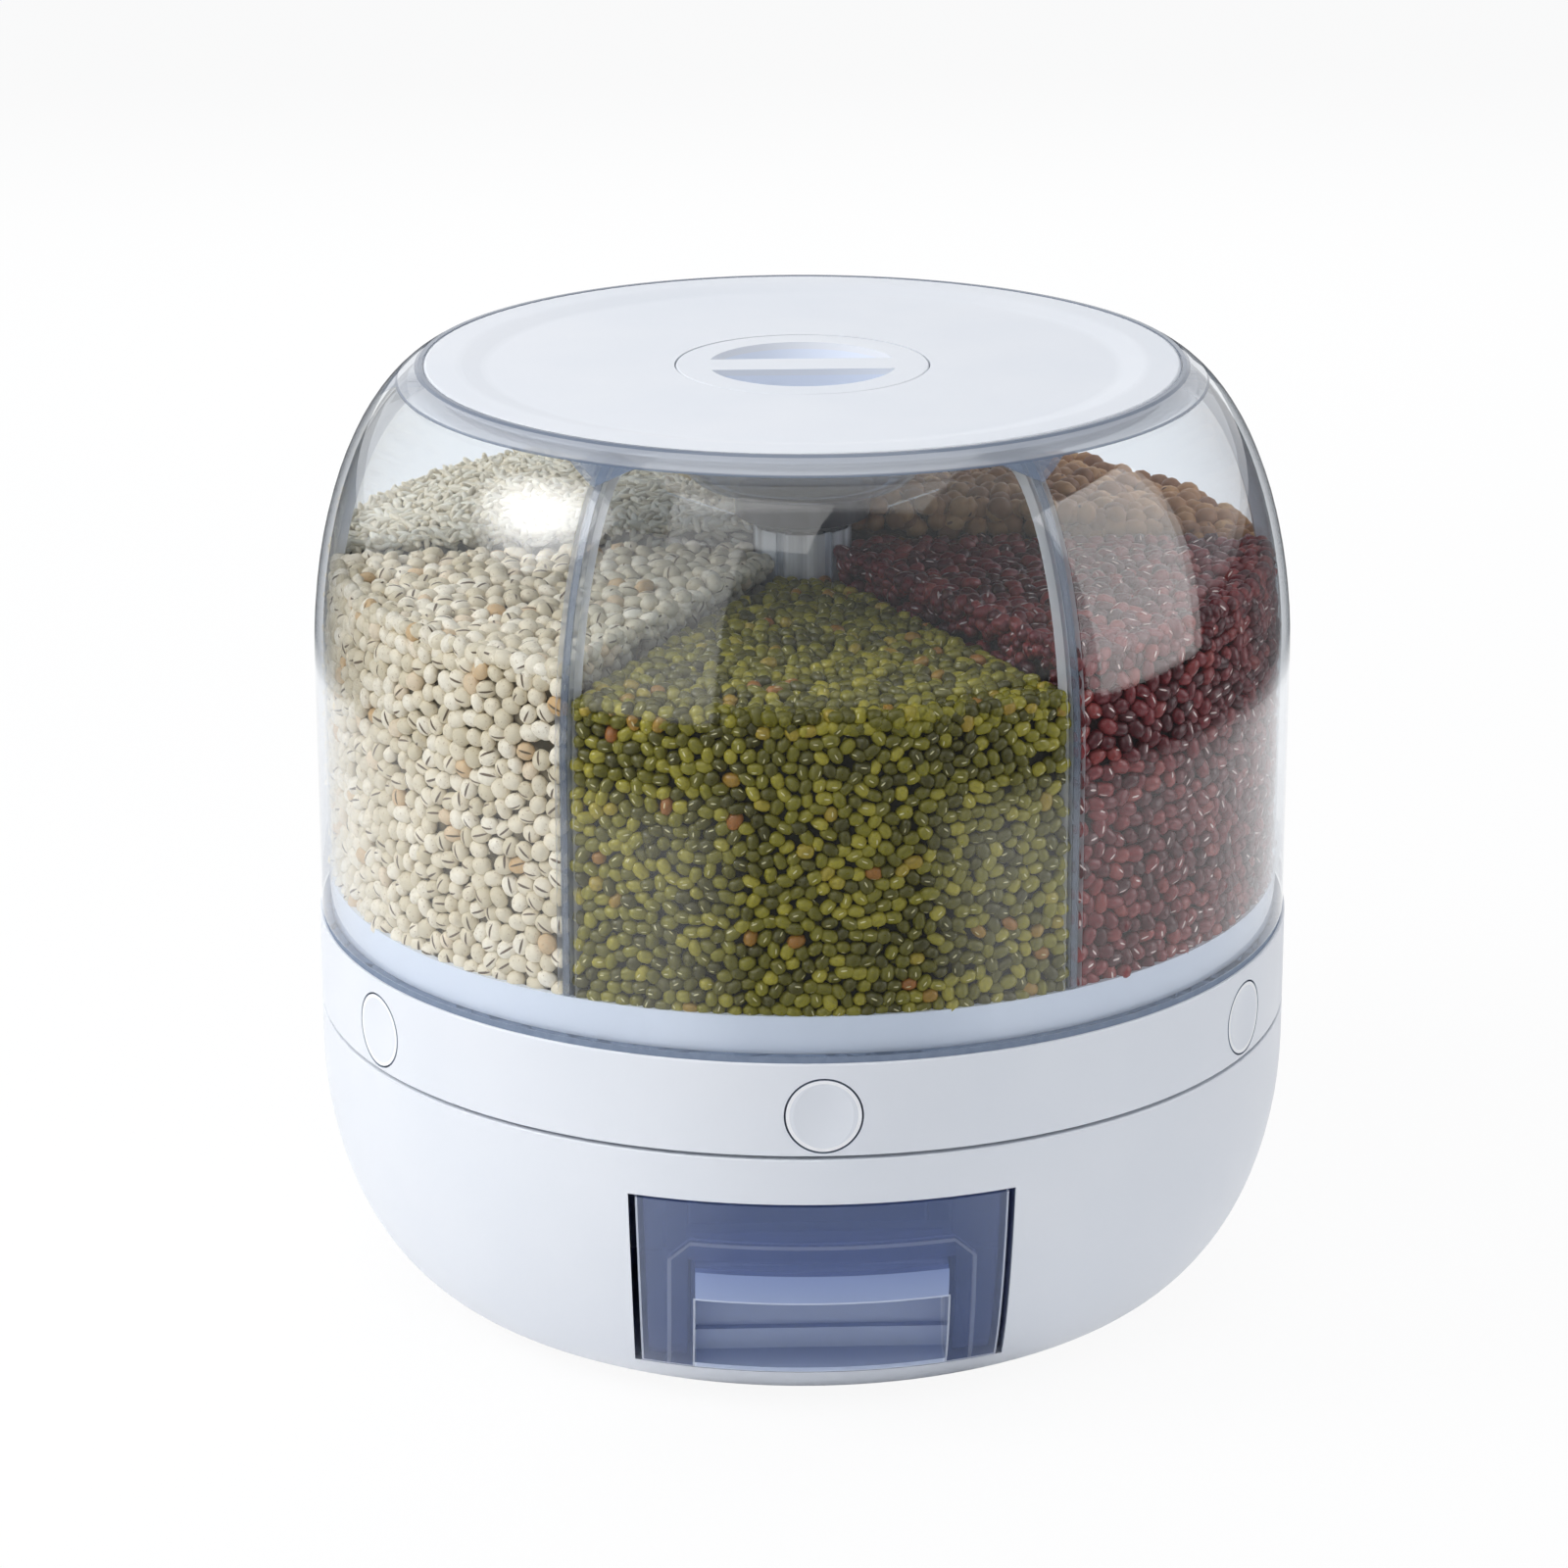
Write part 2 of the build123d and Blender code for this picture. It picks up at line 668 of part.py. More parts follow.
def make_button_ring():
    """White band round the drum's foot with a hole for each button."""
    ring_in = BODY_RADIUS - RING_WALL
    flange_in = BODY_RADIUS - RING_FLANGE
    flange_low = ring_top - RING_FLANGE_WALL
    ring = turned(
        [
            (ring_in, ring_low),
            (BODY_RADIUS, ring_low),
            (BODY_RADIUS, ring_top),
            (flange_in, ring_top),
            (flange_in, flange_low),
            (ring_in, flange_low),
        ],
        soft=[(BODY_RADIUS, ring_low), (BODY_RADIUS, ring_top)],
        radius=EDGE_ROUND / 2,
    )
    web_out = BODY_RADIUS - RING_WALL / 2
    web_top = ring_top - RING_FLANGE_WALL / 2
    web = block(RING_WEB_WALL, ring_in - RING_WEB_RUN, web_out, turntable_top, web_top)
    hole = front_rod(BUTTON_RADIUS + BUTTON_GAP, ring_in - OVERRUN, BODY_RADIUS + OVERRUN, button_z)
    return pierced(joined(ring, spokes(web, 1 / 2)), spokes(hole))


def make_button():
    """Round cap whose face follows the ring and is dished for a fingertip."""
    cap = front_rod(BUTTON_RADIUS, button_back, BODY_RADIUS + OVERRUN, button_z)
    cap = cap & rod(BODY_RADIUS, 0, ring_top)
    behind = button_back - OVERRUN
    face_back = BODY_RADIUS - BUTTON_FACE_WALL
    pin_out = tab_out + PIN_LENGTH
    inside = front_rod(BUTTON_RADIUS - BUTTON_SKIRT_WALL, behind, face_back, button_z)
    socket = front_rod(SOCKET_RADIUS, button_back, face_back + BUTTON_FACE_WALL / 2, button_z)
    pin_room = front_rod(PIN_RADIUS + PIN_GAP, behind, pin_out + PIN_GAP, button_z)
    dish_half = BUTTON_RADIUS - BUTTON_RIM
    curve = (dish_half**2 + BUTTON_DISH**2) / (2 * BUTTON_DISH)
    dish = Pos(0, -(BODY_RADIUS - BUTTON_DISH + curve), button_z) * Sphere(curve)
    return cap - inside + socket - pin_room - dish


def make_gate():
    """Slide plate with a slot, an upright tab and the pin that carries the button."""
    plate = block(gate_width, gate_in, tab_out, gate_low, gate_top)
    slot_in = trough_in + BUTTON_TRAVEL
    slot = block(OUTLET_WIDTH, slot_in, slot_in + OUTLET_RUN, gate_low - OVERRUN, gate_top + OVERRUN)
    tab = block(TAB_WIDTH, tab_in, tab_out, gate_low, gate_top + TAB_HEIGHT)
    pin = front_rod(PIN_RADIUS, tab_out - TAB_WALL / 2, tab_out + PIN_LENGTH, button_z)
    return plate - slot + tab + pin


def spring_points(steps):
    """Points along the return spring with their directions, from the throat to the tab."""
    start = trough_out + HOPPER_WALL + SPRING_SEAT_RUN + SPRING_WIRE_RADIUS + SEAT_GAP
    end = tab_in - SPRING_WIRE_RADIUS - SEAT_GAP
    axis_z = throat_low + SPRING_AXIS_RISE
    sweep = 2 * math.pi * SPRING_TURNS
    points = []
    for i in range(steps + 1):
        share = i / steps
        aside = SPRING_RADIUS * math.cos(share * sweep)
        rise = SPRING_RADIUS * math.sin(share * sweep)
        where = Vector(aside, -(start + (end - start) * share), axis_z + rise)
        turn = Vector(-rise * sweep, start - end, aside * sweep)
        points.append((where, turn.normalized()))
    return points


def smooth_pair(start, start_turn, end, end_turn):
    """Two arcs that leave and arrive in the given directions."""
    chord = end - start
    turns = start_turn + end_turn
    square = 2 * (start_turn.dot(end_turn) - 1)
    slope = -2 * chord.dot(turns)
    reach = (-slope - math.sqrt(slope**2 - 4 * square * chord.dot(chord))) / (2 * square)
    if reach < 0:
        reach = (-slope + math.sqrt(slope**2 - 4 * square * chord.dot(chord))) / (2 * square)
    first = start + start_turn * reach
    second = end - end_turn * reach
    middle = (first + second) / 2
    return [
        TangentArc(start, middle, tangent=start_turn),
        TangentArc(middle, end, tangent=second - first),
    ]


def make_spring():
    """Coil spring that pushes the gate back out."""
    places = spring_points(4 * SPRING_TURNS)
    edges = []
    for (start, start_turn), (end, end_turn) in zip(places, places[1:]):
        edges += smooth_pair(start, start_turn, end, end_turn)
    path = Wire(edges)
    section = Plane(origin=places[0][0], z_dir=places[0][1]) * Circle(SPRING_WIRE_RADIUS)
    return sweep(section, path=path)


def report_spring_gap():
    """Print the least gap between neighbouring turns of a spring."""
    per_turn = 24
    places = [place for place, turn in spring_points(per_turn * SPRING_TURNS)]
    near = per_turn // 2
    gaps = [(a - b).length for i, a in enumerate(places) for b in places[i + near:]]
    print("spring: least gap between turns", round(min(gaps) - 2 * SPRING_WIRE_RADIUS, 2))


def make_hopper():
    """Floor of the drum: slopes to an outlet in each compartment, inside an upright band."""
    band_middle = band_in + BAND_WALL / 2
    slope = (slope_top - trough_z) / (band_in - trough_out)
    heap = turned(
        [
            (0, throat_low),
            (0, cone_top),
            (CONE_TOP_RADIUS, cone_top),
            (trough_in, trough_z),
            (trough_out, trough_z),
            (band_middle, slope_top + slope * (band_middle - band_in)),
            (band_middle, throat_low),
        ]
    )
    ridge_face = make_face(
        Polyline(
            (-ridge_half_width, throat_low),
            (ridge_half_width, throat_low),
            (ridge_half_width, trough_z),
            (0, ridge_z),
            (-ridge_half_width, trough_z),
            close=True,
        )
    )
    ridge = extrude(Plane.XZ.offset(cone_radius_at(ridge_z)) * ridge_face, band_in)
    ridge = ridge & rod(band_middle, 0, band_top)
    heap = joined(heap, spokes(ridge, 1 / 2))
    floor = heap - Pos(0, 0, -HOPPER_WALL) * heap
    throat = block(
        OUTLET_WIDTH + 2 * HOPPER_WALL,
        trough_in - HOPPER_WALL,
        trough_out + HOPPER_WALL,
        throat_low,
        trough_z,
    )
    seat_out = trough_out + HOPPER_WALL + SPRING_SEAT_RUN
    seat = block(SPRING_SEAT_WIDTH, trough_out, seat_out, throat_low, trough_z - HOPPER_WALL / 2)
    post = Pos(0, -post_circle, 0) * rod(POST_RADIUS, turntable_top, ridge_z - HOPPER_WALL / 2)
    spigot = rod(COLUMN_RADIUS - COLUMN_WALL - SEAT_GAP, cone_top - HOPPER_WALL / 2, cone_top + SPIGOT_HEIGHT)
    extras = [tube(band_in, band_out, ring_top, band_top), spigot]
    extras += spokes(throat) + spokes(seat) + spokes(post, 1 / 2)
    outlet = block(OUTLET_WIDTH, trough_in, trough_out, throat_low - OVERRUN, trough_z + OVERRUN)
    screw_room = Pos(0, -post_circle, 0) * screw_holes(ring_low)
    return pierced(joined(floor, extras), spokes(outlet) + spokes(screw_room, 1 / 2))


def cone_radius_at(height):
    """Distance from the axis where the hopper's inner cone is at a height."""
    share = (cone_top - height) / (cone_top - trough_z)
    return CONE_TOP_RADIUS + (trough_in - CONE_TOP_RADIUS) * share


def slope_radius_at(height):
    """Distance from the axis where the hopper's outer slope is at a height."""
    share = (height - trough_z) / (slope_top - trough_z)
    return trough_out + (band_in - trough_out) * share


def make_gasket():
    """Seal between the ring and the clear shell."""
    return tube(shell_in, shell_radius - GASKET_INSET, ring_top, shell_low)


def make_clear_shell():
    """Clear drum wall with a rounded shoulder, a lid seat and a pair of rails for each divider."""
    edges = [Line((shell_radius, shell_low), (shell_radius, shoulder_z)), skin_arc(0, rim_z)]
    inner = skin_arc(SHELL_WALL, seat_low, downward=True)
    chain(
        edges,
        (lip_in, rim_z),
        (lip_in, seat_z),
        (mouth_radius, seat_z),
        (mouth_radius, collar_low),
        (mouth_radius + COLLAR_WALL, collar_low),
        (mouth_radius + COLLAR_WALL, seat_low),
        inner @ 0,
    )
    edges.append(inner)
    chain(edges, (shell_in, shell_low), (shell_radius, shell_low))
    wall = revolve(Plane.XZ * make_face(edges), Axis.Z)
    rail_low = band_top + SEAT_GAP
    rail_high = seat_low + SEAT_WALL / 2
    outside = SHELL_WALL / 2
    inside = SHELL_WALL + RAIL_DEPTH
    rail_edges = [Line((shell_radius - outside, rail_low), (shell_radius - outside, shoulder_z))]
    rail_edges.append(skin_arc(outside, rail_high))
    inner = skin_arc(inside, divider_top, downward=True)
    chain(rail_edges, (mouth_radius + COLLAR_WALL / 2, rail_high), inner @ 0)
    rail_edges.append(inner)
    chain(rail_edges, (shell_radius - inside, rail_low), (shell_radius - outside, rail_low))
    rail = extrude(Plane.XZ * make_face(rail_edges), RAIL_WALL)
    slot_half = DIVIDER_WALL / 2 + SEAT_GAP
    pair = [Pos(0, -slot_half, 0) * rail, Pos(0, slot_half + RAIL_WALL, 0) * rail]
    turns = [Rot(0, 0, -90) * piece for piece in pair]
    return joined(wall, [piece for side in turns for piece in spokes(side, 1 / 2)])


def make_divider():
    """Clear plate from the column to the wall, standing just over the hopper's ridge."""
    wall_gap = SHELL_WALL + SEAT_GAP
    wall_radius = shell_radius - wall_gap
    foot = (wall_radius, band_top + SEAT_GAP)
    edges = [Line(foot, (wall_radius, shoulder_z)), skin_arc(wall_gap, divider_top)]
    bowl_side = bowl_out + DIVIDER_BOWL_GAP
    bowl_under = bowl_low - DIVIDER_BOWL_GAP
    column_side = groove_in + SEAT_GAP
    chain(
        edges,
        (bowl_side, divider_top),
        (bowl_side, bowl_under),
        (COLUMN_RADIUS, column_top),
        (column_side, column_top),
        (column_side, cone_top + SEAT_GAP),
        (CONE_TOP_RADIUS, cone_top + SEAT_GAP),
        (cone_radius_at(ridge_z), ridge_z + SEAT_GAP),
        (slope_radius_at(ridge_z), ridge_z + SEAT_GAP),
        (band_in - SEAT_GAP, slope_top + SEAT_GAP),
        (band_in - SEAT_GAP, band_top + SEAT_GAP),
        foot,
    )
    plate = extrude(Plane.XZ * make_face(edges), DIVIDER_WALL / 2, both=True)
    return Rot(0, 0, -90) * plate


def make_column():
    """Clear hollow column in the middle, closed at the top, with a groove for each divider."""
    inner = COLUMN_RADIUS - COLUMN_WALL
    column = turned(
        [
            (inner, cone_top),
            (COLUMN_RADIUS, cone_top),
            (COLUMN_RADIUS, column_top),
            (0, column_top),
            (0, column_top - COLUMN_CAP),
            (inner, column_top - COLUMN_CAP),
        ]
    )
    groove = block(DIVIDER_WALL + 2 * SEAT_GAP, groove_in, COLUMN_RADIUS + OVERRUN, 0, column_top + OVERRUN)
    return pierced(column, spokes(groove, 1 / 2))


def make_lid_panel():
    """White lid with a shallow dish, a plug ring below and a stepped hole for the knob."""
    dish_in = dish_radius - DISH_SLOPE_RUN / 2
    dish_out = dish_radius + DISH_SLOPE_RUN / 2
    well = KNOB_RADIUS + KNOB_GAP
    hub_out = well + LID_HUB_WIDTH
    face = face_of(
        [
            (lid_radius, rim_z),
            (lid_radius, seat_z),
            (plug_out, seat_z),
            (plug_out, plug_low),
            (plug_in, plug_low),
            (plug_in, lid_under),
            (hub_out, lid_under),
            (hub_out, lid_hub_low),
            (lid_hole, lid_hub_low),
            (lid_hole, knob_seat),
            (well, knob_seat),
            (well, dish_z),
            (dish_in, dish_z),
            (dish_out, rim_z),
        ],
        soft=[(dish_in, dish_z), (dish_out, rim_z)],
        radius=DISH_ROUND,
    )
    edge = min(face.vertices(), key=lambda v: (v.center() - Vector(lid_radius, rim_z)).length)
    return revolve(Plane.XZ * fillet([edge], EDGE_ROUND), Axis.Z)


def make_lid_seal():
    """Soft ring with two fins round the lid's plug."""
    low = plug_low + SEAL_LOW_SHELF
    fin_out = mouth_radius - SEAL_FIN_GAP
    core = plug_out + SEAL_WALL
    seal = tube(plug_out, core, low, seat_z)
    lower = tube(plug_out, fin_out, low, low + SEAL_FIN)
    upper = tube(plug_out, fin_out, seat_z - 2 * SEAL_FIN, seat_z - SEAL_FIN)
    return seal + lower + upper


def make_desiccant_bowl():
    """Clear bowl hung under the middle of the lid."""
    flange_out = bowl_out + BOWL_FLANGE
    flange_low = lid_hub_low - BOWL_FLANGE_WALL
    floor_top = bowl_low + BOWL_WALL
    face = face_of(
        [
            (0, bowl_low),
            (bowl_out, bowl_low),
            (bowl_out, flange_low),
            (flange_out, flange_low),
            (flange_out, lid_hub_low),
            (bowl_in, lid_hub_low),
            (bowl_in, floor_top),
            (0, floor_top),
        ],
        soft=[(bowl_out, bowl_low)],
        radius=BOWL_ROUND,
    )
    corner = min(face.vertices(), key=lambda v: (v.center() - Vector(bowl_in, floor_top)).length)
    return revolve(Plane.XZ * fillet([corner], BOWL_ROUND - BOWL_WALL), Axis.Z)


def make_knob():
    """Round insert with two finger pockets and a grip bar between them."""
    grip_floor = dish_z - GRIP_DEPTH
    neck_low = clip_low - CLIP_GROOVE
    body = turned(
        [
            (0, dish_z),
            (KNOB_RADIUS, dish_z),
            (KNOB_RADIUS, knob_seat),
            (neck_radius, knob_seat),
            (neck_radius, clip_top),
            (neck_radius - CLIP_GROOVE, clip_top),
            (neck_radius - CLIP_GROOVE, clip_low),
            (neck_radius, clip_low),
            (neck_radius, neck_low),
            (GRIP_RADIUS + GRIP_WALL, neck_low),
            (GRIP_FLOOR_RADIUS + GRIP_WALL, grip_floor - GRIP_WALL),
            (0, grip_floor - GRIP_WALL),
        ],
        soft=[(KNOB_RADIUS, dish_z)],
        radius=GRIP_ROUND,
    )
    pocket = turned([(0, grip_floor), (GRIP_FLOOR_RADIUS, grip_floor), (GRIP_RADIUS, dish_z), (0, dish_z)])
    bar = Pos(0, 0, dish_z) * Box(2 * KNOB_RADIUS, GRIP_BAR, 2 * GRIP_DEPTH + OVERRUN)
    return body - (pocket - bar)


def make_knob_clip():
    """Split ring that keeps the knob in the lid."""
    ring = tube(neck_radius - CLIP_GROOVE + SEAT_GAP, clip_radius, clip_low, clip_top)
    return ring - Pos(0, clip_radius, clip_low) * Box(CLIP_SPLIT, clip_radius, OVERRUN)


def make_parts():
    """Every node by its name."""
    parts = {
        "base_shell": make_base_shell(),
        "base_deck": make_base_deck(),
        "base_plate": make_base_plate(),
        "rubber_feet": make_feet(),
        "cup_bay": make_cup_bay(),
        "base_screws": group(placed(screw(plate_low), boss_places())),
        "bay_screws": group(placed(screw(plate_low, BAY_SCREW_LENGTH), bay_leg_places())),
        "spindle": make_spindle(),
        "ball_cage": make_ball_cage(),
        "bearing_balls": make_balls(),
        "grain_cup": make_grain_cup(),
        "turntable": make_turntable(),
        "hub_bush": make_bush(),
        "axle_washer": make_washer(),
        "axle_screw": make_axle_screw(),
        "button_ring": make_button_ring(),
        "hopper_floor": make_hopper(),
        "hopper_screws": make_hopper_screws(),
        "shell_gasket": make_gasket(),
        "clear_shell": make_clear_shell(),
        "centre_column": make_column(),
        "lid_panel": make_lid_panel(),
        "lid_seal": make_lid_seal(),
        "desiccant_bowl": make_desiccant_bowl(),
        "lid_knob": make_knob(),
        "knob_clip": make_knob_clip(),
    }
    repeats = {"button": make_button(), "gate": make_gate(), "gate_spring": make_spring()}
    for name, shape in repeats.items():
        for i, copy in enumerate(spokes(shape)):
            parts[f"{name}_{i + 1}"] = copy
    for i, copy in enumerate(spokes(make_divider(), 1 / 2)):
        parts[f"divider_{i + 1}"] = copy
    return parts


def main():
    os.makedirs("parts", exist_ok=True)
    report_spring_gap()
    for name, shape in make_parts().items():
        export_step(shape, f"parts/{name}.step")


main()
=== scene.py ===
import math

import bmesh
import bpy
import numpy as np
from mathutils import Matrix, Vector


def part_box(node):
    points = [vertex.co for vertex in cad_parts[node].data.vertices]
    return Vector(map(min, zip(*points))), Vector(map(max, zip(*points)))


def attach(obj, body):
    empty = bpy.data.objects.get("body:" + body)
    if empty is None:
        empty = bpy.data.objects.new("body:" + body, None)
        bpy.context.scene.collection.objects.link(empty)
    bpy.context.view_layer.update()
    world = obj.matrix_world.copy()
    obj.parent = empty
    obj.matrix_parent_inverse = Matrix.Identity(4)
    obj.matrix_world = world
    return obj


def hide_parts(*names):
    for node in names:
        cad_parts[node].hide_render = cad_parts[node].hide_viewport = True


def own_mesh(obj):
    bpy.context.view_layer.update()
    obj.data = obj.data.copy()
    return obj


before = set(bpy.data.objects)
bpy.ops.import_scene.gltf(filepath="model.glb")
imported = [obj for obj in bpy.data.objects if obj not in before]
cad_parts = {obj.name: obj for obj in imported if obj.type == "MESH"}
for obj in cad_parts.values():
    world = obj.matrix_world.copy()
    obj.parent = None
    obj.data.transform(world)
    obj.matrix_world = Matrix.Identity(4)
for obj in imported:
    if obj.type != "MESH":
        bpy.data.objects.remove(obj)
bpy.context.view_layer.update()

# Rotating grain dispenser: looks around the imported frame, in metres. Colours are written as
# sRGB numbers from 0 to 255 and turned into linear light by srgb().

# Places read from the frame
shell_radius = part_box("clear_shell")[1].x
shell_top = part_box("clear_shell")[1].z
spring_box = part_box("gate_spring_1")
column_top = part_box("centre_column")[1].z
bowl_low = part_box("desiccant_bowl")[0].z
button_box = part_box("button_1")

# Camera, fitted to the photograph
CAMERA_DISTANCE = 1.5501
CAMERA_HEIGHT = 0.662
CAMERA_PITCH = 18.11
CAMERA_TURN = -2.36
CAMERA_LENS = 120.7
CAMERA_SENSOR = 36.0
CAMERA_SHIFT_SHARE = -0.0117
LEVEL_ANGLE = 90
CLEAR_BOUNCES = 24

# Floor and world
WHITE_LIGHT = (1.0, 1.0, 1.0, 1.0)
FLOOR_SIZE = 12.0
FLOOR_COLOUR = (250, 251, 253)
FLOOR_SHADE = (247, 248, 250)
FLOOR_SCALE = 2.0
FLOOR_WHITE_SHARE = 0.92
FLOOR_DIM_SHARE = 0.05
FLOOR_DIM_LEFT = -0.22
FLOOR_DIM_RIGHT = 0.38
FLOOR_DIM_EDGE = 0.28
FLOOR_LIT_RADIUS = 0.68
FLOOR_LIT_EDGE = 0.08
WORLD_COLOUR = (231, 235, 241)
WORLD_STRENGTH = 0.44
WORLD_FRONT_SHARE = 0.06
WORLD_FRONT_START = -0.65
WORLD_FRONT_END = -0.15
WORLD_SIDE_SHARE = 0.8
WORLD_RIGHT_SHARE = 0.45
WORLD_RIGHT_START = 0.45
WORLD_RIGHT_END = 0.8

# Lamps: azimuth 0 is in front and positive is to the right, in degrees. Rays says whether a lamp
# lights matte surfaces, shows in gloss, or both. The key light is a stack of ellipses.
LAMP_COLOUR = (255, 254, 252)
LAMP_STEP = 0.01
AIM_HEIGHT = 0.16
KEY_WIDTH = 1.0
KEY_HEIGHT = 0.9
KEY_SHARES = (0.4, 0.6, 0.8, 1.0)
KEY_DISTANCE = 1.5
KEY = {"azimuth": -77, "elevation": 34, "radiance": 1.8, "shape": "ELLIPSE"}
GLEAM_SHARES = (0.56, 0.42, 0.3)
GLEAM_DISTANCE = 1.48
GLEAM = {"azimuth": -76, "elevation": 34, "radiance": 0.32, "shape": "ELLIPSE", "rays": "gloss"}
SIDE = {"azimuth": 82, "elevation": 17, "width": 0.85, "height": 1.1}
LEFT = {"azimuth": -36, "elevation": 18, "width": 0.76, "height": 1.1}
TOP = {"azimuth": 0, "elevation": 80, "width": 1.4, "height": 1.4}
FRONT = {"azimuth": -20, "elevation": 50, "width": 1.2, "height": 0.9}
LOW = {"azimuth": -8, "elevation": -1, "width": 1.2, "height": 0.26}
BACK = {"azimuth": 180, "elevation": 24, "width": 1.4, "height": 0.7}
SOFTBOXES = {
    "side_right": {**SIDE, "distance": 1.4, "radiance": 0.75},
    "side_gleam": {**SIDE, "distance": 1.38, "radiance": 1.62, "rays": "gloss"},
    "left_gleam": {**LEFT, "distance": 1.4, "radiance": 1.0, "rays": "gloss"},
    "overhead": {**TOP, "distance": 1.6, "radiance": 1.0},
    "front_fill": {**FRONT, "distance": 2.2, "radiance": 1.4},
    "low_fill": {**LOW, "distance": 1.7, "radiance": 1.1, "rays": "matte"},
    "back_fill": {**BACK, "distance": 1.8, "radiance": 3.0, "rays": "matte"},
}

# Moulded plastic
WHITE = {"colour": (235, 238, 244), "shade": (231, 235, 242), "roughness": 0.36, "gloss": 0.5}
LID_WHITE = {"colour": (229, 232, 238), "shade": (225, 229, 236), "roughness": 0.5, "gloss": 0.08}
INNER = {"colour": (226, 233, 245), "shade": (220, 228, 241), "roughness": 0.5, "gloss": 0.5}
PLASTIC_IOR = 1.46
PLASTIC_BLOTCH_SCALE = 18.0
PLASTIC_SHEEN_SCALE = 60.0
PLASTIC_SMOOTHER = 0.04
PLASTIC_ROUGHER = 0.05
PLASTIC_GRAIN_SCALE = 2600.0
PLASTIC_BUMP_SHARE = 0.12
PLASTIC_BUMP = 0.00004

# Clear plastic: tint face on and edge on, and how much it mirrors straight on
DRUM_CLEAR = {
    "face": (253, 254, 255),
    "edge": (228, 233, 240),
    "power": 6.0,
    "roughness": 0.02,
    "mirror": 0.04,
}
DIVIDER_CLEAR = {
    "face": (250, 252, 254),
    "edge": (150, 164, 184),
    "power": 5.0,
    "roughness": 0.12,
    "mirror": 0.01,
}
COLUMN_CLEAR = {
    "face": (240, 243, 248),
    "edge": (150, 162, 180),
    "power": 3.0,
    "roughness": 0.03,
    "mirror": 0.04,
}
BOWL_CLEAR = {
    "face": (238, 242, 247),
    "edge": (104, 118, 138),
    "power": 3.0,
    "roughness": 0.03,
    "mirror": 0.03,
}
CUP_CLEAR = {
    "face": (212, 221, 243),
    "edge": (126, 141, 182),
    "power": 2.0,
    "roughness": 0.07,
    "mirror": 0.045,
}
COAT_COLOUR = (255, 255, 255)
COAT_SCALE = 40.0
COAT_ROUGHER = 0.02
MIRROR_POWER = 5.0
FACING_BLEND_SHARE = 0.5

# Silicone, rubber and steel
GREY_SILICONE = {"colour": (128, 142, 164), "shade": (120, 134, 156)}
PALE_SILICONE = {"colour": (232, 236, 242), "shade": (226, 231, 238)}
BLACK_RUBBER = {"colour": (34, 34, 36), "shade": (28, 28, 30)}
RUBBER_SPECKLE_SCALE = 300.0
RUBBER_SPECKLE_RANGE = (0.35, 0.65)
RUBBER_SHEEN_SCALE = 120.0
RUBBER_ROUGHNESS = (0.6, 0.75)
RUBBER_GRAIN_SCALE = 1800.0
RUBBER_BUMP_SHARE = 0.2
RUBBER_BUMP = 0.00005
STEEL_COLOUR = (182, 184, 188)
STEEL_SHADE = (205, 207, 210)
STEEL_BLOTCH_SCALE = 90.0
STEEL_MARK_SCALE = 700.0
STEEL_ROUGHNESS = (0.22, 0.36)

# Noise: its usual range, and how many layers it has
NOISE_LOW = 0.3
NOISE_HIGH = 0.7
FINE_DETAIL = 2.0
BROAD_DETAIL = 3.0

# Drum
COMPARTMENTS = 6
SHELL_WALL = 0.0026
SHOULDER_START = 0.20075
SHOULDER_REACH = 0.044
SHOULDER_RISE = 0.0923
DIVIDER_HALF = 0.0013
DIVIDER_EDGE_INSET = 0.0012
DIVIDER_EDGE_COLOUR = (134, 142, 156)
DIVIDER_EDGE_SHARE = 0.5
RAIL_INSET = 0.0004
RAIL_HALF = 0.0029
RAIL_LINE = 0.0005
RAIL_COLOUR = (206, 213, 224)
# Painted highlight lines along the outer edges of the rails
RAIL_HIGHLIGHT_COLOUR = (248, 249, 252)
RAIL_SHARE = 0.45
RIM_BAND_LOW = 0.2857
# Painted light: a pale band over the rim, where the lid's overhang shades it
RIM_BAND_LIGHT_COLOUR = (206, 213, 225)
RIM_BAND_SHARE = 0.4
LIP_LINE = 0.0006
LIP_COLOUR = (92, 106, 128)
LIP_SHARE = 0.75
GUSSET_DROP = 0.0055
GUSSET_SPREAD_SHARE = 2.0
GUSSET_COLOUR = (118, 134, 158)
GUSSET_SHARE = 0.55

# Column, and the dark cap on it, which is painted shade under the lid's centre
COLUMN_RADIUS = 0.0155
COLUMN_EDGE = 0.001
# Painted highlights: upright pale streaks on the column's side
COLUMN_STREAK_SCALE = 260.0
COLUMN_STREAK_RANGE = (0.42, 0.62)
COLUMN_STREAK_SHARES = (0.5, 0.95)
COLUMN_HIGHLIGHT_COLOUR = (248, 250, 253)
CAP_FOOT = 0.0149
CAP_RADIUS = 0.0205
CAP_FLARE = 0.0024
CAP_ROUND = 0.0012
CAP_GAP = 0.001
CAP_SIDES = 96
# Painted shade: the cap's dark grey stands in for the shade under the lid's centre
CAP_PAINTED_SHADE_COLOUR = (46, 49, 57)
CAP_SHADE = (72, 76, 85)
CAP_STREAK_SCALE = 180.0
CAP_STREAK_RANGE = (0.4, 0.7)
CAP_SHEEN_SCALE = 90.0
CAP_ROUGHNESS = (0.28, 0.38)

# Knob and buttons
KNOB_POCKET_TOP = 0.2868
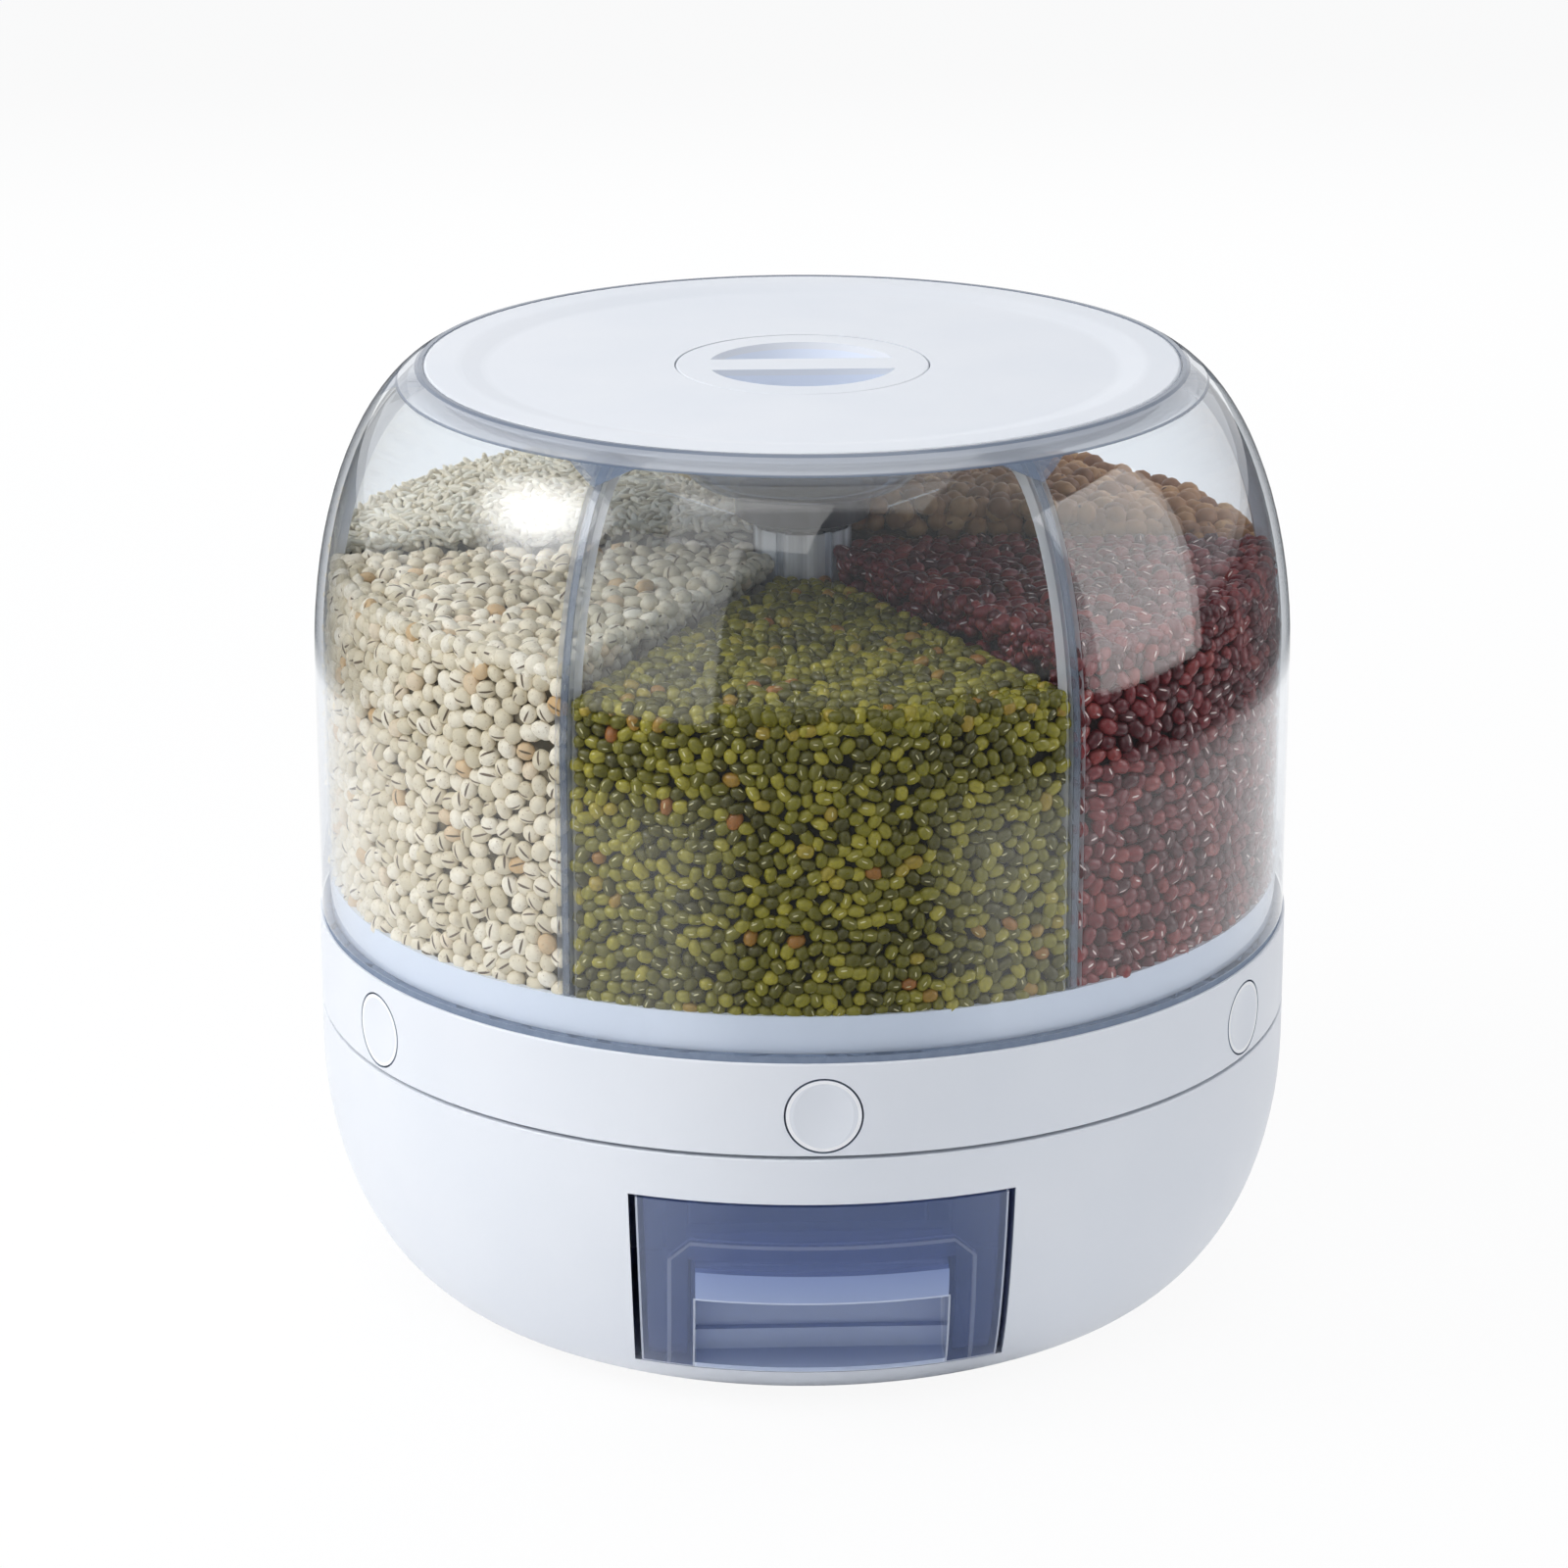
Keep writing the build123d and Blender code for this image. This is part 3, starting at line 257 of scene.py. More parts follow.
# Painted shade: a bluer tone down in the knob's grip pockets
KNOB_POCKET_SHADE_COLOUR = (226, 233, 246)
BUTTON_GAP = 0.00045
BUTTON_RIM = 0.0011
BUTTON_EDGE = 0.0001
# Painted shade in the gap round each button, and a painted highlight on its rim
BUTTON_GAP_SHADE_COLOUR = (146, 156, 174)
BUTTON_HIGHLIGHT_COLOUR = (252, 253, 255)

# Cup
PANEL_LOW = 0.0151
PANEL_LOW_HALF = 0.0525
PANEL_TAPER_SHARE = 0.0291
NOTCH_HALF = 0.037
NOTCH_TOP = 0.043
POCKET_LOW = 0.018
POCKET_TOP = 0.053
PAD_HALF = 0.0445
PAD_TOP = 0.0625
PAD_CORNER = 0.006
PAD_LINE_SHARE = 0.14
# Painted highlights along the cup's panel, notch and pad
CUP_LINE = 0.0006
CUP_LINE_SHARE = 0.6
CUP_HIGHLIGHT_COLOUR = (222, 229, 243)
CUP_COLOUR = (158, 175, 216)
CUP_SHADE = (149, 166, 208)
CUP_CLOUD_SCALE = 25.0
CUP_BODY_SHARE = 0.27
# Painted light in the finger pocket: paler and more solid, palest low down where it lies in shade
POCKET_LOW_LIGHT_COLOUR = (216, 229, 255)
POCKET_TOP_LIGHT_COLOUR = (156, 173, 216)
POCKET_BODY_SHARE = 0.8

# Return springs
SPRING_TURNS = 8
SPRING_WIRE = 0.0004
SPRING_COIL = 0.0024
SPRING_SIDES = 6
SPRING_STEPS = 16

# Grain heaps. Each layer has its number, the fineness of its grains and how far they tilt.
SEED = 100
WALL_GAP = 0.0004
GRAIN_LOW = 0.1335
LAYERS = ((0, 2, 0.35), (1, 1, 0.6))
LAYER_FIRST_SHARE = 0.5
LAYER_STEP_SHARE = 0.75
WALL_LOOSE_SHARE = 0.25
TOP_LOOSE_SHARE = 0.5
SIDE_DEPTH = 0.022
SIDE_DETAIL = 1
SIDE_TILT = 0.3
PACK_SHARE = 0.93
ROW_SHARE = 0.866
JITTER_SHARE = 0.5
PUSH_SHARE = 0.45
PUSH_ROUNDS = 8
LYING_SHARE = 0.55
FLIP_SHARE = 0.5
SIZE_SPREAD_SHARE = 0.07
SIZE_LIMIT_SHARES = (0.8, 1.2)
BARREL_LIMIT_SHARE = 1.3
POLE_LEAST = 0.0001
TINY = 1e-9
SINE_LIMIT = 0.5
CORE_LOW = 0.122
CORE_INSET_SHARE = 0.9
CORE_TURNS = 12
CORE_LEVELS = 8
CORE_RINGS = 8

# Skin of the grains, and the heap behind them, darkened as painted shade
PATCH_SCALE = 2.2
PATCH_RANGE = (0.4, 0.75)
PATCH_SHARE = 0.35
MARK_SOFT_SHARE = 0.25
SKIN_SMOOTHER = 0.05
SKIN_ROUGHER = 0.08
CORE_CELL_SCALE = 230.0
CORE_CELL_RANGE = (0.1, 0.7)
CORE_SHADE_SHARE = 0.55
CORE_BUMP_SHARE = 0.6
CORE_BUMP = 0.001
CORE_ROUGHNESS = 0.8

# Kinds of grain: size along, across and through, tones, marks and how full the compartment is
# Each core colour is the heap behind the grains, darker than their tones as painted shade
MUNG = {
    "size": (0.0054, 0.0041, 0.0039),
    "barrel": 2.5,
    "tones": [
        (0.0, (70, 66, 9)),
        (0.35, (104, 99, 15)),
        (0.7, (138, 131, 26)),
        (0.94, (174, 162, 50)),
        (1.0, (160, 96, 38)),
    ],
    "roughness": 0.3,
    "mark": {"long": 0.3, "wide": 0.1, "colour": (214, 206, 160)},
    "core": (36, 34, 10),
    "wall_level": 0.2235,
    "mid_level": 0.2275,
}
ADZUKI = {
    "size": (0.0066, 0.0048, 0.0045),
    "barrel": 2.8,
    "tones": [(0.0, (70, 12, 20)), (0.4, (106, 24, 32)), (0.75, (132, 38, 44)), (1.0, (156, 66, 60))],
    "roughness": 0.3,
    "mark": {"long": 0.36, "wide": 0.12, "colour": (236, 216, 208)},
    "core": (44, 12, 16),
    "wall_level": 0.2345,
    "mid_level": 0.2360,
}
CHICKPEA = {
    "size": (0.0084, 0.0076, 0.0073),
    "barrel": 2.0,
    "tones": [(0.0, (140, 88, 46)), (0.4, (176, 122, 70)), (0.8, (198, 145, 89)), (1.0, (216, 169, 111))],
    "roughness": 0.5,
    "mark": {"long": 0.22, "wide": 0.12, "colour": (120, 78, 44)},
    "core": (120, 80, 46),
    "wall_level": 0.2330,
    "mid_level": 0.2480,
}
SOY = {
    "size": (0.0078, 0.0070, 0.0066),
    "barrel": 2.1,
    "tones": [(0.0, (196, 164, 96)), (0.5, (218, 190, 124)), (1.0, (232, 208, 150))],
    "roughness": 0.42,
    "mark": {"long": 0.34, "wide": 0.1, "colour": (150, 116, 70)},
    "core": (176, 146, 90),
    "wall_level": 0.2290,
    "mid_level": 0.2400,
}
RICE = {
    "size": (0.0064, 0.0023, 0.0020),
    "barrel": 2.1,
    "tones": [(0.0, (232, 219, 192)), (0.5, (244, 234, 211)), (1.0, (252, 246, 229))],
    "roughness": 0.45,
    "core": (220, 214, 200),
    "wall_level": 0.2340,
    "mid_level": 0.2400,
}
COIX = {
    "size": (0.0066, 0.0058, 0.0046),
    "barrel": 2.2,
    "tones": [
        (0.0, (212, 200, 172)),
        (0.5, (234, 223, 199)),
        (0.9, (247, 239, 221)),
        (1.0, (206, 166, 110)),
    ],
    "roughness": 0.55,
    "mark": {"long": 0.7, "wide": 0.12, "colour": (104, 86, 66)},
    "freckle": {"scale": 3.2, "from": 0.62, "to": 0.7, "share": 0.55, "colour": (150, 118, 78)},
    "core": (150, 138, 114),
    "wall_level": 0.2325,
    "mid_level": 0.2345,
}
CONTENTS = [
    ("mung", MUNG),
    ("adzuki", ADZUKI),
    ("chickpea", CHICKPEA),
    ("soy", SOY),
    ("rice", RICE),
    ("coix", COIX),
]


def srgb(red, green, blue):
    """Linear colour, with full alpha, from sRGB numbers."""
    parts = [c / 255 for c in (red, green, blue)]
    linear = [p / 12.92 if p <= 0.04045 else ((p + 0.055) / 1.055) ** 2.4 for p in parts]
    return (*linear, 1.0)


def add_object(name, data):
    """A new object in the scene."""
    made = bpy.data.objects.new(name, data)
    bpy.context.scene.collection.objects.link(made)
    return made


# Node helpers
class Tree:
    """The nodes of a material or a world, made and linked by short calls."""

    def __init__(self, owner, output):
        owner.use_nodes = True
        self.owner = owner
        self.nodes = owner.node_tree.nodes
        self.links = owner.node_tree.links
        self.nodes.clear()
        self.out = self.nodes.new(output)

    def put(self, socket, value):
        if isinstance(value, bpy.types.NodeSocket):
            self.links.new(value, socket)
        else:
            socket.default_value = value

    def node(self, kind, inputs=None, **settings):
        made = self.nodes.new(kind)
        for key, value in settings.items():
            setattr(made, key, value)
        for key, value in (inputs or {}).items():
            self.put(made.inputs[key], value)
        return made

    def math(self, operation, *values):
        made = self.node("ShaderNodeMath", operation=operation)
        for i, value in enumerate(values):
            self.put(made.inputs[i], value)
        return made.outputs[0]

    def place(self):
        return self.node("ShaderNodeTexCoord").outputs["Object"]

    def split(self, vector):
        return self.node("ShaderNodeSeparateXYZ", {"Vector": vector}).outputs

    def noise(self, scale, vector, detail=FINE_DETAIL):
        inputs = {"Scale": scale, "Vector": vector, "Detail": detail}
        return self.node("ShaderNodeTexNoise", inputs).outputs["Fac"]

    def spread(self, value, low, high, to_low=0.0, to_high=1.0):
        inputs = {"Value": value, "From Min": low, "From Max": high, "To Min": to_low, "To Max": to_high}
        return self.node("ShaderNodeMapRange", inputs).outputs["Result"]

    def mottle(self, scale, vector, to_low=0.0, to_high=1.0, detail=FINE_DETAIL):
        """Noise, spread from its usual range to another one."""
        return self.spread(self.noise(scale, vector, detail), NOISE_LOW, NOISE_HIGH, to_low, to_high)

    def mix(self, share, first, second):
        made = self.node("ShaderNodeMix", data_type="RGBA")
        self.put(made.inputs["Factor"], share)
        self.put(made.inputs["A"], first)
        self.put(made.inputs["B"], second)
        return made.outputs["Result"]

    def mix_shader(self, share, first, second):
        made = self.node("ShaderNodeMixShader")
        self.put(made.inputs[0], share)
        self.put(made.inputs[1], first)
        self.put(made.inputs[2], second)
        return made.outputs[0]

    def matte(self, colour):
        return self.node("ShaderNodeBsdfDiffuse", {"Color": colour}).outputs[0]

    def cover(self, share, body, colour):
        """A matte colour over a share of a shader."""
        return self.mix_shader(share, body, self.matte(srgb(*colour)))

    def bump(self, height, strength, distance):
        inputs = {"Height": height, "Strength": strength, "Distance": distance}
        return self.node("ShaderNodeBump", inputs).outputs["Normal"]

    def principled(self, inputs):
        return self.finish(self.node("ShaderNodeBsdfPrincipled", inputs).outputs[0])

    def finish(self, shader):
        self.links.new(shader, self.out.inputs["Surface"])
        return self.owner


def material_tree(name):
    """The nodes of a new material."""
    return Tree(bpy.data.materials.new(name), "ShaderNodeOutputMaterial")


def facing_power(tree, power):
    """How far a surface is turned from the view, raised to a power."""
    facing = tree.node("ShaderNodeLayerWeight", {"Blend": FACING_BLEND_SHARE}).outputs["Facing"]
    return tree.math("POWER", facing, power)


def clear_body(tree, look):
    """What is seen through clear plastic, tinted where the wall is seen edge on."""
    tint = tree.mix(facing_power(tree, look["power"]), srgb(*look["face"]), srgb(*look["edge"]))
    return tree.node("ShaderNodeBsdfTransparent", {"Color": tint}).outputs[0]


def finish_clear(tree, body, look):
    """A gloss coat over a see-through body: it mirrors little straight on, and all at a glancing angle."""
    roughness = look["roughness"]
    rough = tree.mottle(COAT_SCALE, tree.place(), roughness, roughness + COAT_ROUGHER, BROAD_DETAIL)
    gloss = tree.node("ShaderNodeBsdfGlossy", {"Color": srgb(*COAT_COLOUR), "Roughness": rough}).outputs[0]
    mirror = look["mirror"]
    share = tree.math("MULTIPLY_ADD", facing_power(tree, MIRROR_POWER), 1.0 - mirror, mirror)
    return tree.finish(tree.mix_shader(share, body, gloss))


def inside_wall(tree, inset):
    """One on what stands inside the drum wall by more than an inset, and zero on the wall."""
    apart = tree.split(tree.place())
    square = tree.math("MULTIPLY", apart["X"], apart["X"])
    square = tree.math("MULTIPLY_ADD", apart["Y"], apart["Y"], square)
    rise = tree.math("SUBTRACT", apart["Z"], SHOULDER_START)
    up = tree.math("MAXIMUM", tree.math("DIVIDE", rise, SHOULDER_RISE - SHELL_WALL), 0.0)
    fall = tree.math("SUBTRACT", 1.0, tree.math("MULTIPLY", up, up))
    arc = tree.math("SQRT", tree.math("MAXIMUM", fall, 0.0))
    start = shell_radius - SHOULDER_REACH - inset
    wall = tree.math("MULTIPLY_ADD", arc, SHOULDER_REACH - SHELL_WALL, start)
    return tree.math("LESS_THAN", tree.math("SQRT", square), wall)


def spoke_distance(tree, start):
    """Distance in plan from the nearest of three lines through the axis, the first at a start angle."""
    apart = tree.split(tree.place())
    distances = []
    for i in range(COMPARTMENTS // 2):
        turn = start + i * 2 * math.pi / COMPARTMENTS
        across = tree.math("MULTIPLY", apart["X"], -math.sin(turn))
        across = tree.math("MULTIPLY_ADD", apart["Y"], math.cos(turn), across)
        distances.append(tree.math("ABSOLUTE", across))
    nearest = distances[0]
    for distance in distances[1:]:
        nearest = tree.math("MINIMUM", nearest, distance)
    return nearest


def upright_noise(tree, scale):
    """Noise that is the same all the way up, for streaks."""
    apart = tree.split(tree.place())
    upright = tree.node("ShaderNodeCombineXYZ", {"X": apart["X"], "Y": apart["Y"]}).outputs[0]
    return tree.noise(scale, upright)


# Materials
def moulded_plastic(name, look, detail=None):
    """Satin moulded plastic with a faint grain and uneven gloss, and a detail in its colour if asked."""
    tree = material_tree(name)
    place = tree.place()
    blotch = tree.mottle(PLASTIC_BLOTCH_SCALE, place, detail=BROAD_DETAIL)
    tone = tree.mix(blotch, srgb(*look["colour"]), srgb(*look["shade"]))
    if detail:
        tone = detail(tree, tone)
    least, most = look["roughness"] - PLASTIC_SMOOTHER, look["roughness"] + PLASTIC_ROUGHER
    rough = tree.mottle(PLASTIC_SHEEN_SCALE, place, least, most, BROAD_DETAIL)
    bump = tree.bump(tree.noise(PLASTIC_GRAIN_SCALE, place), PLASTIC_BUMP_SHARE, PLASTIC_BUMP)
    inputs = {"Base Color": tone, "Roughness": rough, "Normal": bump}
    return tree.principled({**inputs, "IOR": PLASTIC_IOR, "Specular IOR Level": look["gloss"]})


def knob_pocket_shade(tree, tone):
    """Painted shade: bluer down in the pockets of the grip."""
    height = tree.split(tree.place())["Z"]
    return tree.mix(tree.math("LESS_THAN", height, KNOB_POCKET_TOP), tone, srgb(*KNOB_POCKET_SHADE_COLOUR))


def button_highlight_and_gap_shade(tree, tone):
    """A painted highlight on each button's rim and painted shade in the gap around it."""
    low, high = button_box
    radius = (high.x - low.x) / 2
    rise = tree.math("SUBTRACT", tree.split(tree.place())["Z"], (low.z + high.z) / 2)
    across = spoke_distance(tree, math.pi / COMPARTMENTS)
    square = tree.math("MULTIPLY_ADD", across, across, tree.math("MULTIPLY", rise, rise))
    distance = tree.math("SQRT", square)
    rim = tree.math("COMPARE", distance, radius - BUTTON_RIM / 2, BUTTON_RIM / 2)
    gap = tree.math("COMPARE", distance, radius + BUTTON_GAP / 2, BUTTON_GAP / 2 + BUTTON_EDGE)
    tone = tree.mix(rim, tone, srgb(*BUTTON_HIGHLIGHT_COLOUR))
    return tree.mix(gap, tone, srgb(*BUTTON_GAP_SHADE_COLOUR))


def column_plastic(name):
    """Clear column with painted highlights on its side, as upright pale streaks."""
    tree = material_tree(name)
    noise = upright_noise(tree, COLUMN_STREAK_SCALE)
    streaks = tree.spread(noise, *COLUMN_STREAK_RANGE, *COLUMN_STREAK_SHARES)
    side = tree.math("LESS_THAN", tree.split(tree.place())["Z"], column_top - COLUMN_EDGE)
    streaks = tree.math("MULTIPLY", streaks, side)
    body = tree.cover(streaks, clear_body(tree, COLUMN_CLEAR), COLUMN_HIGHLIGHT_COLOUR)
    return finish_clear(tree, body, COLUMN_CLEAR)


def bowl_plastic(name):
    """Clear bowl, greyer where its wall is seen edge on."""
    tree = material_tree(name)
    return finish_clear(tree, clear_body(tree, BOWL_CLEAR), BOWL_CLEAR)


def shade_cap_plastic(name):
    """Dark grey with faint upright streaks, painted shade under the lid's centre."""
    tree = material_tree(name)
    streaks = tree.spread(upright_noise(tree, CAP_STREAK_SCALE), *CAP_STREAK_RANGE)
    tone = tree.mix(streaks, srgb(*CAP_PAINTED_SHADE_COLOUR), srgb(*CAP_SHADE))
    rough = tree.mottle(CAP_SHEEN_SCALE, tree.place(), *CAP_ROUGHNESS)
    return tree.principled({"Base Color": tone, "Roughness": rough})


def divider_plastic(name):
    """Clear divider plate, darker along the edge that meets the drum wall."""
    tree = material_tree(name)
    plate = inside_wall(tree, DIVIDER_EDGE_INSET)
    edge = tree.math("MULTIPLY", tree.math("SUBTRACT", 1.0, plate), DIVIDER_EDGE_SHARE)
    body = tree.cover(edge, clear_body(tree, DIVIDER_CLEAR), DIVIDER_EDGE_COLOUR)
    return finish_clear(tree, body, DIVIDER_CLEAR)


def drum_plastic(name):
    """Clear drum wall, with paler rails inside it edged by painted highlight lines, tinted webs over them,
    and a pale band of painted light over the rim where the lid shades it.
    """
    tree = material_tree(name)
    beside = spoke_distance(tree, 0.0)
    height = tree.split(tree.place())["Z"]
    # Painted highlights: near-white lines along the rails' outer edges
    line = tree.math("GREATER_THAN", beside, RAIL_HALF - RAIL_LINE)
    solid = tree.matte(tree.mix(line, srgb(*RAIL_COLOUR), srgb(*RAIL_HIGHLIGHT_COLOUR)))
    rails = tree.math("MULTIPLY", inside_wall(tree, RAIL_INSET), RAIL_SHARE)
    body = tree.mix_shader(rails, clear_body(tree, DRUM_CLEAR), solid)
    reach = tree.math("SUBTRACT", height, RIM_BAND_LOW - GUSSET_DROP)
    reach = tree.math("MULTIPLY", reach, GUSSET_SPREAD_SHARE)
    gusset = tree.math("MULTIPLY", tree.math("LESS_THAN", beside, reach), GUSSET_SHARE)
    gusset = tree.math("MULTIPLY", gusset, tree.math("LESS_THAN", height, RIM_BAND_LOW))
    body = tree.cover(gusset, body, GUSSET_COLOUR)
    # Painted light: a pale matte band over the rim, lightening it under the lid
    band = tree.math("MULTIPLY", tree.math("GREATER_THAN", height, RIM_BAND_LOW), RIM_BAND_SHARE)
    body = tree.cover(band, body, RIM_BAND_LIGHT_COLOUR)
    lip = tree.math("GREATER_THAN", height, shell_top - LIP_LINE)
    lip = tree.math("MAXIMUM", lip, tree.math("COMPARE", height, RIM_BAND_LOW, LIP_LINE / 2))
    body = tree.cover(tree.math("MULTIPLY", lip, LIP_SHARE), body, LIP_COLOUR)
    return finish_clear(tree, body, DRUM_CLEAR)


def along_edge(tree, *distances):
    """One along the outline where the greatest of some distances is zero."""
    greatest = distances[0]
    for distance in distances[1:]:
        greatest = tree.math("MAXIMUM", greatest, distance)
    return tree.math("COMPARE", greatest, 0.0, CUP_LINE)


def cup_highlight_lines(tree, aside, height):
    """Painted highlights: pale lines along the cup's panel and notch, and a faint one around the pad."""
    rise = tree.math("SUBTRACT", height, PANEL_LOW)
    half = tree.math("MULTIPLY_ADD", rise, PANEL_TAPER_SHARE, PANEL_LOW_HALF)
    panel = along_edge(tree, tree.math("SUBTRACT", aside, half), tree.math("MULTIPLY", rise, -1.0))
    beside, above = tree.math("SUBTRACT", aside, NOTCH_HALF), tree.math("SUBTRACT", height, NOTCH_TOP)
    bright = tree.math("MAXIMUM", panel, along_edge(tree, beside, above))
    beside, above = tree.math("SUBTRACT", aside, PAD_HALF), tree.math("SUBTRACT", height, PAD_TOP)
    corner = tree.math("ADD", tree.math("ADD", beside, above), PAD_CORNER)
    faint = tree.math("MULTIPLY", along_edge(tree, beside, above, corner), PAD_LINE_SHARE)
    return tree.math("MAXIMUM", tree.math("MULTIPLY", bright, CUP_LINE_SHARE), faint)


def smoky_plastic(name):
    """Tinted see-through plastic, with painted light that makes the finger pocket paler, most towards its
    floor, and painted highlights along its edges.
    """
    tree = material_tree(name)
    place = tree.place()
    apart = tree.split(place)
    aside, height = tree.math("ABSOLUTE", apart["X"]), apart["Z"]
    within = tree.math("LESS_THAN", aside, NOTCH_HALF)
    pocket = tree.math("MULTIPLY", within, tree.math("LESS_THAN", height, POCKET_TOP))
    cloud = tree.mottle(CUP_CLOUD_SCALE, place, detail=BROAD_DETAIL)
    tone = tree.mix(cloud, srgb(*CUP_COLOUR), srgb(*CUP_SHADE))
    # Painted light: the pocket paler and more solid, most towards its floor
    rise = tree.spread(height, POCKET_LOW, POCKET_TOP)
    pocket_light = tree.mix(rise, srgb(*POCKET_LOW_LIGHT_COLOUR), srgb(*POCKET_TOP_LIGHT_COLOUR))
    tone = tree.mix(pocket, tone, pocket_light)
    share = tree.spread(pocket, 0.0, 1.0, CUP_BODY_SHARE, POCKET_BODY_SHARE)
    body = tree.mix_shader(share, clear_body(tree, CUP_CLEAR), tree.matte(tone))
    # Painted highlights along the cup's edges
    body = tree.cover(cup_highlight_lines(tree, aside, height), body, CUP_HIGHLIGHT_COLOUR)
    return finish_clear(tree, body, CUP_CLEAR)


def soft_rubber(name, look):
    """Matte silicone or rubber with a fine speckle."""
    tree = material_tree(name)
    place = tree.place()
    speckle = tree.spread(tree.noise(RUBBER_SPECKLE_SCALE, place), *RUBBER_SPECKLE_RANGE)
    tone = tree.mix(speckle, srgb(*look["colour"]), srgb(*look["shade"]))
    bump = tree.bump(tree.noise(RUBBER_GRAIN_SCALE, place), RUBBER_BUMP_SHARE, RUBBER_BUMP)
    rough = tree.mottle(RUBBER_SHEEN_SCALE, place, *RUBBER_ROUGHNESS)
    return tree.principled({"Base Color": tone, "Roughness": rough, "Normal": bump})


def steel(name):
    """Plain bright steel with fine turning marks."""
    tree = material_tree(name)
    place = tree.place()
    blotch = tree.noise(STEEL_BLOTCH_SCALE, place, BROAD_DETAIL)
    tone = tree.mix(blotch, srgb(*STEEL_COLOUR), srgb(*STEEL_SHADE))
    rough = tree.mottle(STEEL_MARK_SCALE, place, *STEEL_ROUGHNESS)
    return tree.principled({"Base Color": tone, "Roughness": rough, "Metallic": 1.0})


def tone_ramp(tree, tones):
    """A colour for each grain, by its own tone."""
    tone = tree.node("ShaderNodeAttribute", attribute_name="tone").outputs["Fac"]
    ramp = tree.node("ShaderNodeValToRGB", {"Fac": tone})
    ramp.color_ramp.interpolation = "LINEAR"
    stops = ramp.color_ramp.elements
    stops[0].position, stops[0].color = tones[0][0], srgb(*tones[0][1])
    stops[1].position, stops[1].color = tones[-1][0], srgb(*tones[-1][1])
    for where, colour in tones[1:-1]:
        stops.new(where).color = srgb(*colour)
    return ramp.outputs["Color"]


def grain_mark(tree, local, mark):
    """One in an oval on one side of a grain, soft at its edge."""
    apart = tree.split(local)
    along = tree.math("DIVIDE", apart["X"], mark["long"])
    aside = tree.math("DIVIDE", apart["Y"], mark["wide"])
    oval = tree.math("MULTIPLY_ADD", along, along, tree.math("MULTIPLY", aside, aside))
    on_side = tree.math("GREATER_THAN", apart["Z"], 0.0)
    return tree.math("MULTIPLY", tree.spread(oval, 1.0 + MARK_SOFT_SHARE, 1.0 - MARK_SOFT_SHARE), on_side)


def grain_skin(name, kind):
    """Skin of one kind of grain: a tone for each grain, darker patches, freckles and a mark on one side."""
    tree = material_tree(name)
    local = tree.node("ShaderNodeAttribute", attribute_name="local").outputs["Vector"]
    tones, roughness = kind["tones"], kind["roughness"]
    mark, freckle = kind.get("mark"), kind.get("freckle")
    patch = tree.noise(PATCH_SCALE, local)
    dark = tree.spread(patch, *PATCH_RANGE, 0.0, PATCH_SHARE)
    colour = tree.mix(dark, tone_ramp(tree, tones), srgb(*tones[0][1]))
    if freckle:
        spots = tree.spread(tree.noise(freckle["scale"], local), freckle["from"], freckle["to"])
        colour = tree.mix(tree.math("MULTIPLY", spots, freckle["share"]), colour, srgb(*freckle["colour"]))
    if mark:
        colour = tree.mix(grain_mark(tree, local, mark), colour, srgb(*mark["colour"]))
    rough = tree.spread(patch, NOISE_LOW, NOISE_HIGH, roughness - SKIN_SMOOTHER, roughness + SKIN_ROUGHER)
    return tree.principled({"Base Color": colour, "Roughness": rough})


def shaded_heap_core(name, colour):
    """The heap behind the outer grains, painted darker than them as the shade between and behind the
    grains.
    """
    tree = material_tree(name)
    inputs = {"Vector": tree.place(), "Scale": CORE_CELL_SCALE}
    cells = tree.node("ShaderNodeTexVoronoi", inputs).outputs["Distance"]
    # Painted shade: darker towards the edges of the cells, as shade between grains
    dark = [c * CORE_SHADE_SHARE for c in colour]
    tone = tree.mix(tree.spread(cells, *CORE_CELL_RANGE), srgb(*colour), srgb(*dark))
    bump = tree.bump(cells, CORE_BUMP_SHARE, CORE_BUMP)
    return tree.principled({"Base Color": tone, "Normal": bump, "Roughness": CORE_ROUGHNESS})


# Contents of the compartments
def wall_radius(height):
    """Inside of the drum wall at a height."""
    if height <= SHOULDER_START:
        return shell_radius - SHELL_WALL
    share = (height - SHOULDER_START) / (SHOULDER_RISE - SHELL_WALL)
    reach = SHOULDER_REACH - SHELL_WALL
    return shell_radius - SHOULDER_REACH + reach * math.sqrt(max(0.0, 1.0 - share * share))


def unit_grain(detail, barrel):
    """Points and faces of a round grain one unit in radius, a little barrel-shaped."""
    shape = bmesh.new()
    bmesh.ops.create_icosphere(shape, subdivisions=detail, radius=1.0)
    points = np.array([v.co[:] for v in shape.verts])
    faces = np.array([[v.index for v in f.verts] for f in shape.faces])
    shape.free()
    along = np.clip(np.abs(points[:, 0]), 0.0, 1.0)
    old = np.sqrt(np.maximum(TINY, 1.0 - along**2))
    new = np.maximum(0.0, 1.0 - along**barrel) ** (1.0 / barrel)
    points[:, 1:] *= (new / np.maximum(old, POLE_LEAST))[:, None].clip(0.0, BARREL_LIMIT_SHARE)
    return points, faces


def spaced(points, spacing, keep_in, rounds):
    """Points pushed apart until they lie about one spacing from each other."""
    for _ in range(rounds):
        away = points[:, None, :] - points[None, :, :]
        gap = np.sqrt((away**2).sum(2)) + TINY
        np.fill_diagonal(gap, 1.0)
        push = np.clip(spacing - gap, 0.0, None) / gap * PUSH_SHARE
        points = keep_in(points + (away * push[:, :, None]).sum(1))
    return points


